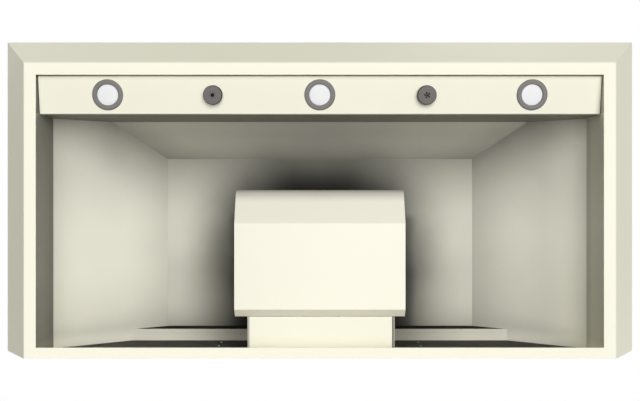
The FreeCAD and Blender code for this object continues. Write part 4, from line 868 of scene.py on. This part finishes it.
class RANGEHOOD_OT_lamps(bpy.types.Operator):
    """Turned rings and frosted lenses of the three lamps"""
    bl_idname = "range_hood.lamps"
    bl_label = "Build lamps"

    def execute(self, context):
        sizes = hood().lamp
        finishes = hood().finishes
        trim = turned("satin_nickel", finishes.trim)
        glass = grained("frosted_glass", finishes.glass, 0.35, 0.05, Transmission_Weight=0.15, IOR=1.5)
        can = grained("spun_can", finishes.can, bump=0.02, Metallic=1.0)
        mirror = grained("reflector_lamp", finishes.mirror, 0.15, bump=0.02, Metallic=1.0)
        ring = self.ring_outline(sizes)
        lens = self.lens_outline(sizes)
        for side in SIDES:
            place = panel_place(centre_x("lamp_ring_" + side))
            turned_piece("lamp_trim_" + side, ring, place, trim, "hood", "lamp_trim", ("lamp_ring_" + side,))
            turned_piece("lamp_glass_" + side, lens, place, glass, "hood", "lamp_glass",
                         ("lamp_lens_" + side,))
            paint(("lamp_can_" + side,), can)
            paint(("lamp_bulb_" + side,), mirror)
        return {"FINISHED"}

    def ring_outline(self, sizes):
        """Inner slope, groove, rolled outer edge and neck of a ring."""
        low = -sizes.proud
        groove = sizes.opening + 4.0 * MM
        floor = low + 0.3 * MM
        bore = sizes.neck - 1.0 * MM
        return round_corners([
            (sizes.opening, 0.30 * low, 0.3 * MM), (sizes.opening + 1.4 * MM, low, 0.6 * MM),
            (groove - 0.4 * MM, low, 0.0), (groove - 0.2 * MM, floor, 0.0),
            (groove + 0.2 * MM, floor, 0.0), (groove + 0.4 * MM, low, 0.0),
            (sizes.ring_radius - 2.4 * MM, low, 1.2 * MM), (sizes.ring_radius, 0.35 * low, 0.6 * MM),
            (sizes.ring_radius, 0.0, 0.0), (sizes.neck, 0.0, 0.0),
            (sizes.neck, sizes.neck_height, 0.3 * MM), (bore, sizes.neck_height, 0.3 * MM),
            (bore, sizes.seat, 0.0), (sizes.opening, sizes.seat, 0.0)])

    def lens_outline(self, sizes):
        """Lens on its seat, with a slightly domed face in the opening."""
        edge = sizes.neck - 1.3 * MM
        face = sizes.seat - 0.56 * MM
        back = sizes.seat + sizes.lens_wall
        return round_corners([
            (0.0, face - 0.4 * MM, 0.0), (0.5 * sizes.opening, face - 0.3 * MM, 4.0 * MM),
            (sizes.opening - 1.2 * MM, face, 0.4 * MM), (sizes.opening - 0.4 * MM, sizes.seat, 0.0),
            (edge, sizes.seat, 0.0), (edge, back, 0.2 * MM), (0.0, back, 0.0)])


def blade_outline(radius, turn, steps=8):
    """One swept fan blade: narrow at the hub, wide and round at the tip."""
    hub = 0.16
    lead = 0.84
    trail = 0.80
    sweep = 0.75
    points = []
    for step in range(steps + 1):
        part = step / steps
        points.append((radius * (hub + lead * part), turn + sweep * part * part))
    for step in range(steps, -1, -1):
        part = step / steps
        width = 0.72 * math.sin(math.pi * min(1.0, 0.15 + 0.75 * part))
        points.append((radius * (hub + trail * part), turn + sweep * part * part + width))
    return [(reach * math.cos(angle), reach * math.sin(angle)) for reach, angle in points]


def mark_mesh(name, outlines, low, high, matrix):
    """Thin raised marks from flat outlines."""
    shape = bmesh.new()
    for outline in outlines:
        lower = [shape.verts.new((x, y, low)) for x, y in outline]
        upper = [shape.verts.new((x, y, high)) for x, y in outline]
        shape.faces.new(lower)
        shape.faces.new(upper[::-1])
        for index in range(len(outline)):
            after = (index + 1) % len(outline)
            shape.faces.new((lower[index], upper[index], upper[after], lower[after]))
    bmesh.ops.recalc_face_normals(shape, faces=shape.faces)
    return to_mesh(name, shape, matrix)


class RANGEHOOD_OT_knobs(bpy.types.Operator):
    """Ribbed knobs with a light mark and a fan mark"""
    bl_idname = "range_hood.knobs"
    bl_label = "Build knobs"

    def execute(self, context):
        sizes = hood().knob
        finishes = hood().finishes
        face = turned("knob_graphite", finishes.knob, Lines=240.0, Contrast=0.3, Gloss=0.4)
        # The dark bodies and ribs are the knobs' moulding and partly painted shade: their dark rim round each
        # face stands for the shade at the knob's edge.
        grip = grained("knob_grip", finishes.grip, 0.5, Specular_IOR_Level=0.15)
        ink = grained("mark_ink", finishes.ink, 0.5, bump=0.05, Specular_IOR_Level=0.05)
        top = -sizes.gap - sizes.height
        flat = top + 0.2 * MM
        outline = self.body_outline(sizes, top)
        disc = self.face_outline(sizes, top, flat)
        ribs = bpy.data.node_groups.get("grip_ribs") or make_rib_tree()
        ring = {"Count": sizes.ribs, "Radius": sizes.radius - 0.7 * MM, "Rib Radius": sizes.rib_radius,
                "Rib Length": sizes.height - 3.0 * MM, "Middle": -sizes.gap - 0.48 * sizes.height,
                "Material": grip}
        reach = sizes.mark_radius
        rays = 8
        blades = 5
        sun = [circle(0.55 * reach, 24)]
        sun += [circle(0.11 * reach, 12, ray) for ray in circle(0.86 * reach, rays)]
        fan = [circle(0.24 * reach, 24)]
        fan += [blade_outline(reach, 2 * math.pi * step / blades) for step in range(blades)]
        for body, mark in (("light_knob", sun), ("fan_knob", fan)):
            place = panel_place(centre_x(body))
            turned_piece(body + "_body", outline, place, grip, body, "knob_finish", (body,))
            turned_piece(body + "_face", disc, place, face, body, "knob_finish")
            mesh = grow(body + "_grip", ribs, ring)
            mesh.transform(place)
            finish_mesh(body + "_grip", mesh, grip, body, "knob_finish")
            mesh = mark_mesh(body + "_mark", mark, flat - sizes.mark_height, flat + 0.3 * MM, place)
            finish_mesh(body + "_mark", mesh, ink, body, "dark_plastic")
        return {"FINISHED"}

    def body_outline(self, sizes, top):
        """Hollow knob: a shell that the ribs stand proud of, and a seat for the face disc."""
        shell = sizes.radius - 0.6 * MM
        inside = sizes.radius - sizes.wall
        seat = sizes.radius - sizes.rim
        bed = top + sizes.inlay
        hollow = -sizes.gap - sizes.cavity
        return round_corners([
            (sizes.shaft, hollow, 0.0), (inside, hollow, 0.4 * MM), (inside, -sizes.gap, 0.3 * MM),
            (shell, -sizes.gap, 0.4 * MM), (shell, top + 1.2 * MM, 0.3 * MM),
            (seat + 0.4 * MM, top, 0.3 * MM), (seat, top + 0.1 * MM, 0.0), (seat, bed, 0.0), (0.0, bed, 0.0),
            (0.0, top + sizes.seat, 0.0), (sizes.shaft, top + sizes.seat, 0.0)])

    def face_outline(self, sizes, top, flat):
        """Thin disc that lies in the knob's seat."""
        seat = sizes.radius - sizes.rim
        edge = seat - 0.05 * MM
        back = top + sizes.inlay - 0.02 * MM
        return round_corners([
            (0.0, back, 0.0), (edge, back, 0.0), (edge, flat + 0.2 * MM, 0.0),
            (seat - 0.4 * MM, flat, 0.1 * MM), (0.0, flat, 0.0)])


def inward_normals(section, middle):
    """Normals of an open section, on the side of a point inside it."""
    normals = []
    last = len(section) - 1
    for index in range(last + 1):
        run = (section[min(index + 1, last)] - section[max(index - 1, 0)]).normalized()
        normals.append(Vector((-run.y, run.x)))
    half = len(section) // 2
    if (middle - section[half]).dot(normals[half]) < 0:
        normals = [-normal for normal in normals]
    return normals


def rolled_edges(half_width, radius, steps=4):
    """Places across a sheet and their depth, with both side edges rounded."""
    right = []
    for step in range(steps + 1):
        angle = math.pi / 2 * step / steps
        right.append((half_width - radius + radius * math.sin(angle), radius - radius * math.cos(angle)))
    return [(-x, depth) for x, depth in right[::-1]] + right


class RANGEHOOD_OT_blower_cover(bpy.types.Operator):
    """Folded blower cover with rounded side edges and inlet notches, in enamel with painted shade"""
    bl_idname = "range_hood.blower_cover"
    bl_label = "Build blower cover"

    def execute(self, context):
        sizes = hood().cover
        holder = add_object("blower_cover_seed", self.skin(sizes))
        wall = holder.modifiers.new("wall", "SOLIDIFY")
        wall.thickness = sizes.wall
        wall.offset = -1.0
        thick = applied(holder)
        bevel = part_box("blower_cover")[1][1] - sizes.bevel
        # Painted shade: the cover darkens up to the knee, and the slope past the front fold and the rear
        # bevel are darker than the lower face.
        coat = enamel("cover_enamel", hood().finishes.cover, [
            grade(0.5, UPWARD, sizes.knee - 0.014, sizes.knee),
            grade(0.08, TO_FRONT, sizes.fold - 0.001, sizes.fold + 0.001),
            grade(0.18, TO_WALL, bevel - 0.001, bevel + 0.001)])
        finish_mesh("blower_cover_skin", thick, coat, "blower_cover", "blower_paint", ("blower_cover",))
        return {"FINISHED"}

    def skin(self, sizes):
        """Outer face of the cover: its folded section, and two ends notched round the inlets."""
        low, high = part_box("blower_cover")
        front, rear, bottom, top = low[1], high[1], low[2], high[2]
        section = round_corners([
            (front, top, 0.0), (front, sizes.knee, sizes.knee_radius),
            (-sizes.fold, bottom, sizes.bend_radius), (rear - sizes.bevel, bottom, sizes.bend_radius),
            (rear, bottom + sizes.bevel, sizes.bend_radius), (rear, top, 0.0)], 7)
        middle = Vector(FAN_AXIS[1:])
        across = rolled_edges(high[0], sizes.edge_radius)
        shape = bmesh.new()
        rows = []
        for spot, inner in zip(section, inward_normals(section, middle)):
            rows.append([shape.verts.new((x, *(spot + inner * depth))) for x, depth in across])
        for first, second in zip(rows, rows[1:]):
            for index in range(len(across) - 1):
                shape.faces.new((first[index], first[index + 1], second[index + 1], second[index]))
        reach = sizes.notch_radius
        start = math.asin((top - middle.y) / reach)
        steps = 32
        for column, end in ((0, -high[0]), (-1, high[0])):
            rim = [row[column] for row in rows]
            for step in range(steps + 1):
                angle = start - (math.pi + 2 * start) * step / steps
                rim.append(shape.verts.new((end, middle.x + reach * math.cos(angle),
                                            middle.y + reach * math.sin(angle))))
            shape.faces.new(rim)
        bmesh.ops.recalc_face_normals(shape, faces=shape.faces)
        # The largest face is the lower one, which looks down.
        if max(shape.faces, key=lambda item: item.calc_area()).normal.z > 0.5:
            bmesh.ops.reverse_faces(shape, faces=shape.faces)
        return to_mesh("blower_cover_skin", shape)


def screw_points(name, spots):
    """One point for each screw, with the direction that its head faces."""
    mesh = bpy.data.meshes.new(name)
    mesh.from_pydata([spot for spot, axis in spots], [], [])
    facing = mesh.attributes.new("screw_axis", "FLOAT_VECTOR", "POINT")
    for index, (spot, axis) in enumerate(spots):
        facing.data[index].vector = axis
    return mesh


class RANGEHOOD_OT_screws(bpy.types.Operator):
    """Cross head screws of the duct collar, inlet rings and light panel"""
    bl_idname = "range_hood.screws"
    bl_label = "Build screws"

    def execute(self, context):
        sizes = hood().screw
        steel = grained("plated_screw", hood().finishes.steel, 0.3, Metallic=1.0)
        tree = bpy.data.node_groups.get("cross_head_screws") or make_screw_tree()
        values = {"Head Radius": sizes.head, "Head Height": sizes.rise, "Shank Radius": sizes.shank,
                  "Shank Length": sizes.grip, "Recess": sizes.recess, "Seed": sizes.seed, "Material": steel}
        for node, seats in (("collar_screws", self.collar_seats), ("inlet_screws", self.inlet_seats),
                            ("light_panel_screws", self.panel_seats)):
            points = screw_points(node + "_points", seats(sizes, *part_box(node)))
            mesh = grow(node + "_heads", tree, values, points)
            finish_mesh(node + "_heads", mesh, steel, "hood", "bright_steel", (node,))
        return {"FINISHED"}

    def collar_seats(self, sizes, low, high):
        """Six screws into the collar's flange, heads up."""
        ring = (high[0] - low[0]) / 2 - sizes.head
        centre = (0.0, (low[1] + high[1]) / 2)
        return [((x, y, high[2] - sizes.rise), UPWARD) for x, y in circle(ring, 6, centre)]

    def inlet_seats(self, sizes, low, high):
        """Three screws round each inlet, heads outwards."""
        ring = high[2] - sizes.head - FAN_AXIS[2]
        spots = []
        for y, z in circle(ring, 3, FAN_AXIS[1:], math.pi / 2):
            spots.append(((low[0] + sizes.rise, y, z), TO_LEFT))
            spots.append(((high[0] - sizes.rise, y, z), TO_RIGHT))
        return spots

    def panel_seats(self, sizes, low, high):
        """Two screws in each end of the light panel, heads inwards."""
        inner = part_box("light_panel")[1][0] - MM
        height = (low[2] + high[2]) / 2
        spots = []
        for y in (low[1] + sizes.head, high[1] - sizes.head):
            spots.append(((inner, y, height), TO_LEFT))
            spots.append(((-inner, y, height), TO_RIGHT))
        return spots


class RANGEHOOD_OT_blower(bpy.types.Operator):
    """Zinc sheet, plated steel and motor finishes of the blower and duct"""
    bl_idname = "range_hood.blower"
    bl_label = "Finish blower"

    def execute(self, context):
        finishes = hood().finishes
        paint(ZINC_NODES, finish("galvanised_sheet", "zinc_spangle", {"Colour": rgba(finishes.zinc)},
                                 bump=0.05, Metallic=0.85))
        paint(STEEL_NODES, grained("plated_steel", finishes.steel, 0.28, bump=0.08, Metallic=1.0))
        paint(("motor_body",), grained("motor_black", finishes.motor, 0.42))
        paint(("cable_gland",), grained("gland_casting", finishes.casting, 0.4, bump=0.25, Metallic=0.9))
        paint(PLASTIC_NODES, grained("dark_moulding", finishes.moulding))
        return {"FINISHED"}


class RANGEHOOD_OT_wiring(bpy.types.Operator):
    """Enamel with painted shade on the wiring lid and its box"""
    bl_idname = "range_hood.wiring"
    bl_label = "Finish wiring box"

    def execute(self, context):
        finishes = hood().finishes
        low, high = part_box("wiring_cover")
        ledge = high[0] - 0.004
        # Painted shade: the lid is darker from 13 mm off the wall forward, so its rear end, which lies in
        # shade, stays lighter;
        # it darkens along its left edge, and a dark line and a grey strip past its right ledge stand for a
        # gap in shade.
        paint(("wiring_cover",), enamel("lid_enamel", finishes.lid, [
            grade(0.175, TO_FRONT, 0.013, 0.033),
            grade(0.42, TO_LEFT, -low[0] - 0.005, -low[0] - 0.0015),
            grade(0.60, TO_RIGHT, ledge, ledge + 0.0002),
            grade(0.95, TO_RIGHT, ledge, ledge + 0.0002, (TO_LEFT, -ledge - 0.0022, -ledge - 0.0018))]))
        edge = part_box("wiring_box")[0][2]
        # Painted shade: the box is darker along its lowest edge, within 2 mm.
        paint(("wiring_box",), enamel("box_enamel", finishes.liner, [
            grade(0.55, DOWNWARD, -edge - 0.002, -edge - 0.001)]))
        return {"FINISHED"}


# Places of the stage, in metres: the four upper lamps stand on a ring over the hood.
STAGE_CENTRE = (0.0, -0.3)
FLOOR_HALF = 6.0
FLOOR_FADE = (1.5, 5.5)
UPPER_RING = 2.0
UPPER_TURN = math.radians(-55)
UPPER_HEIGHT = 2.7
UPPER_AIM = (0.0, -0.3, 0.3)
UPPER_SIZE = 1.8
REAR_PLACE = (0.0, 2.4, 0.8)
REAR_AIM = (0.0, 0.0, 0.25)
REAR_SIZE = 1.2


class RANGEHOOD_OT_stage(bpy.types.Operator):
    """Floor, surrounding light, soft lamps and the camera below the mouth"""
    bl_idname = "range_hood.stage"
    bl_label = "Set stage"

    def execute(self, context):
        scene = context.scene
        stage = hood().stage
        scene.view_settings.view_transform = "Standard"
        scene.world = self.surround(stage)
        self.floor(stage)
        key = bpy.data.lights.new("key_lamp", "SUN")
        key.energy = stage.key
        key.angle = stage.key_spread
        self.turn(add_object("key_lamp", key), -Vector(stage.key_side))
        for step, (x, y) in enumerate(circle(UPPER_RING, 4, STAGE_CENTRE, UPPER_TURN)):
            self.lamp("upper_lamp_%d" % step, (x, y, UPPER_HEIGHT), UPPER_AIM, UPPER_SIZE, stage.upper)
        self.lamp("rear_lamp", REAR_PLACE, REAR_AIM, REAR_SIZE, stage.rear)
        camera = add_object("camera", bpy.data.cameras.new("camera"))
        camera.data.lens = stage.lens
        camera.location = stage.eye
        camera.rotation_euler = (math.pi, 0.0, 0.0)
        scene.camera = camera
        return {"FINISHED"}

    def seen(self, tree):
        """One for rays that show the backdrop itself."""
        path = tree.nodes.new("ShaderNodeLightPath").outputs
        seen = calc(tree, "MAXIMUM", path["Is Camera Ray"], path["Is Glossy Ray"])
        return calc(tree, "MAXIMUM", seen, path["Is Transmission Ray"])

    def surround(self, stage):
        """White backdrop that gives the hood only a little light."""
        world = bpy.data.worlds.new("surround")
        tree = clear_tree(world)
        dim = add_node(tree, "ShaderNodeBackground", {"Color": grey(1.0), "Strength": stage.fill})
        white = add_node(tree, "ShaderNodeBackground", {"Color": grey(1.0)})
        both = add_node(tree, "ShaderNodeMixShader",
                        {0: self.seen(tree), 1: dim.outputs[0], 2: white.outputs[0]})
        add_node(tree, "ShaderNodeOutputWorld", {"Surface": both.outputs[0]})
        return world

    def floor(self, stage):
        """Pale floor, whiter further out and clear from below."""
        centre = (*STAGE_CENTRE, stage.floor)
        shape = bmesh.new()
        bmesh.ops.create_grid(shape, x_segments=8, y_segments=8, size=FLOOR_HALF)
        mesh = to_mesh("floor", shape, Matrix.Translation(centre))
        material = bpy.data.materials.new("pale_floor")
        tree = clear_tree(material)
        seen = self.seen(tree)
        tone = mix(tree, seen, grey(0.18), grey(0.9))
        plain = add_node(tree, "ShaderNodeBsdfDiffuse", {"Color": tone})
        away = vector_math(tree, "DISTANCE", {0: object_place(tree), 1: centre})["Value"]
        pale = ramp(tree, away, *FLOOR_FADE, stage.pale, 0.95)
        glow = add_node(tree, "ShaderNodeEmission", {"Strength": calc(tree, "MULTIPLY", seen, pale)})
        lit = add_node(tree, "ShaderNodeAddShader", {0: plain.outputs[0], 1: glow.outputs[0]})
        clear = tree.nodes.new("ShaderNodeBsdfTransparent")
        behind = tree.nodes.new("ShaderNodeNewGeometry").outputs["Backfacing"]
        sided = add_node(tree, "ShaderNodeMixShader", {0: behind, 1: lit.outputs[0], 2: clear.outputs[0]})
        add_node(tree, "ShaderNodeOutputMaterial", {"Surface": sided.outputs[0]})
        mesh.materials.append(material)
        floor = add_object("floor", mesh)
        floor.visible_shadow = False

    def lamp(self, name, spot, target, size, watts):
        """Square soft lamp that the camera doesn't see."""
        data = bpy.data.lights.new(name, "AREA")
        data.shape = "SQUARE"
        data.size = size
        data.energy = watts
        lamp = add_object(name, data)
        lamp.location = spot
        lamp.visible_camera = False
        self.turn(lamp, Vector(target) - Vector(spot))

    def turn(self, lamp, direction):
        lamp.rotation_euler = direction.to_track_quat("-Z", "Y").to_euler()


class RANGEHOOD_PT_sidebar(bpy.types.Panel):
    """Every step of the hood's looks, with its sizes and colours"""
    bl_idname = "RANGEHOOD_PT_sidebar"
    bl_label = "Range Hood"
    bl_space_type = "VIEW_3D"
    bl_region_type = "UI"
    bl_category = "Range Hood"

    def draw(self, context):
        settings = context.scene.range_hood
        for group in (settings.finishes, settings.cover, settings.lamp, settings.knob, settings.screw,
                      settings.stage):
            box = self.layout.box()
            for name in group.__annotations__:
                box.prop(group, name)
        for step in STEPS:
            self.layout.operator(step.bl_idname)


STEPS = (RANGEHOOD_OT_canopy, RANGEHOOD_OT_liner, RANGEHOOD_OT_light_panel, RANGEHOOD_OT_lamps,
         RANGEHOOD_OT_knobs, RANGEHOOD_OT_blower_cover, RANGEHOOD_OT_screws, RANGEHOOD_OT_blower,
         RANGEHOOD_OT_wiring, RANGEHOOD_OT_stage)
CLASSES = (HoodFinishes, CoverShape, LampShape, KnobShape, ScrewShape, StageLight,
           RangeHoodSettings) + STEPS + (RANGEHOOD_PT_sidebar,)


def register():
    for item in CLASSES:
        bpy.utils.register_class(item)
    bpy.types.Scene.range_hood = PointerProperty(type=RangeHoodSettings)


def unregister():
    del bpy.types.Scene.range_hood
    for item in reversed(CLASSES):
        bpy.utils.unregister_class(item)


def main():
    register()
    bpy.ops.range_hood.canopy()
    bpy.ops.range_hood.liner()
    bpy.ops.range_hood.light_panel()
    bpy.ops.range_hood.lamps()
    bpy.ops.range_hood.knobs()
    bpy.ops.range_hood.blower_cover()
    bpy.ops.range_hood.screws()
    bpy.ops.range_hood.blower()
    bpy.ops.range_hood.wiring()
    bpy.ops.range_hood.stage()


if __name__ == "__main__":
    main()
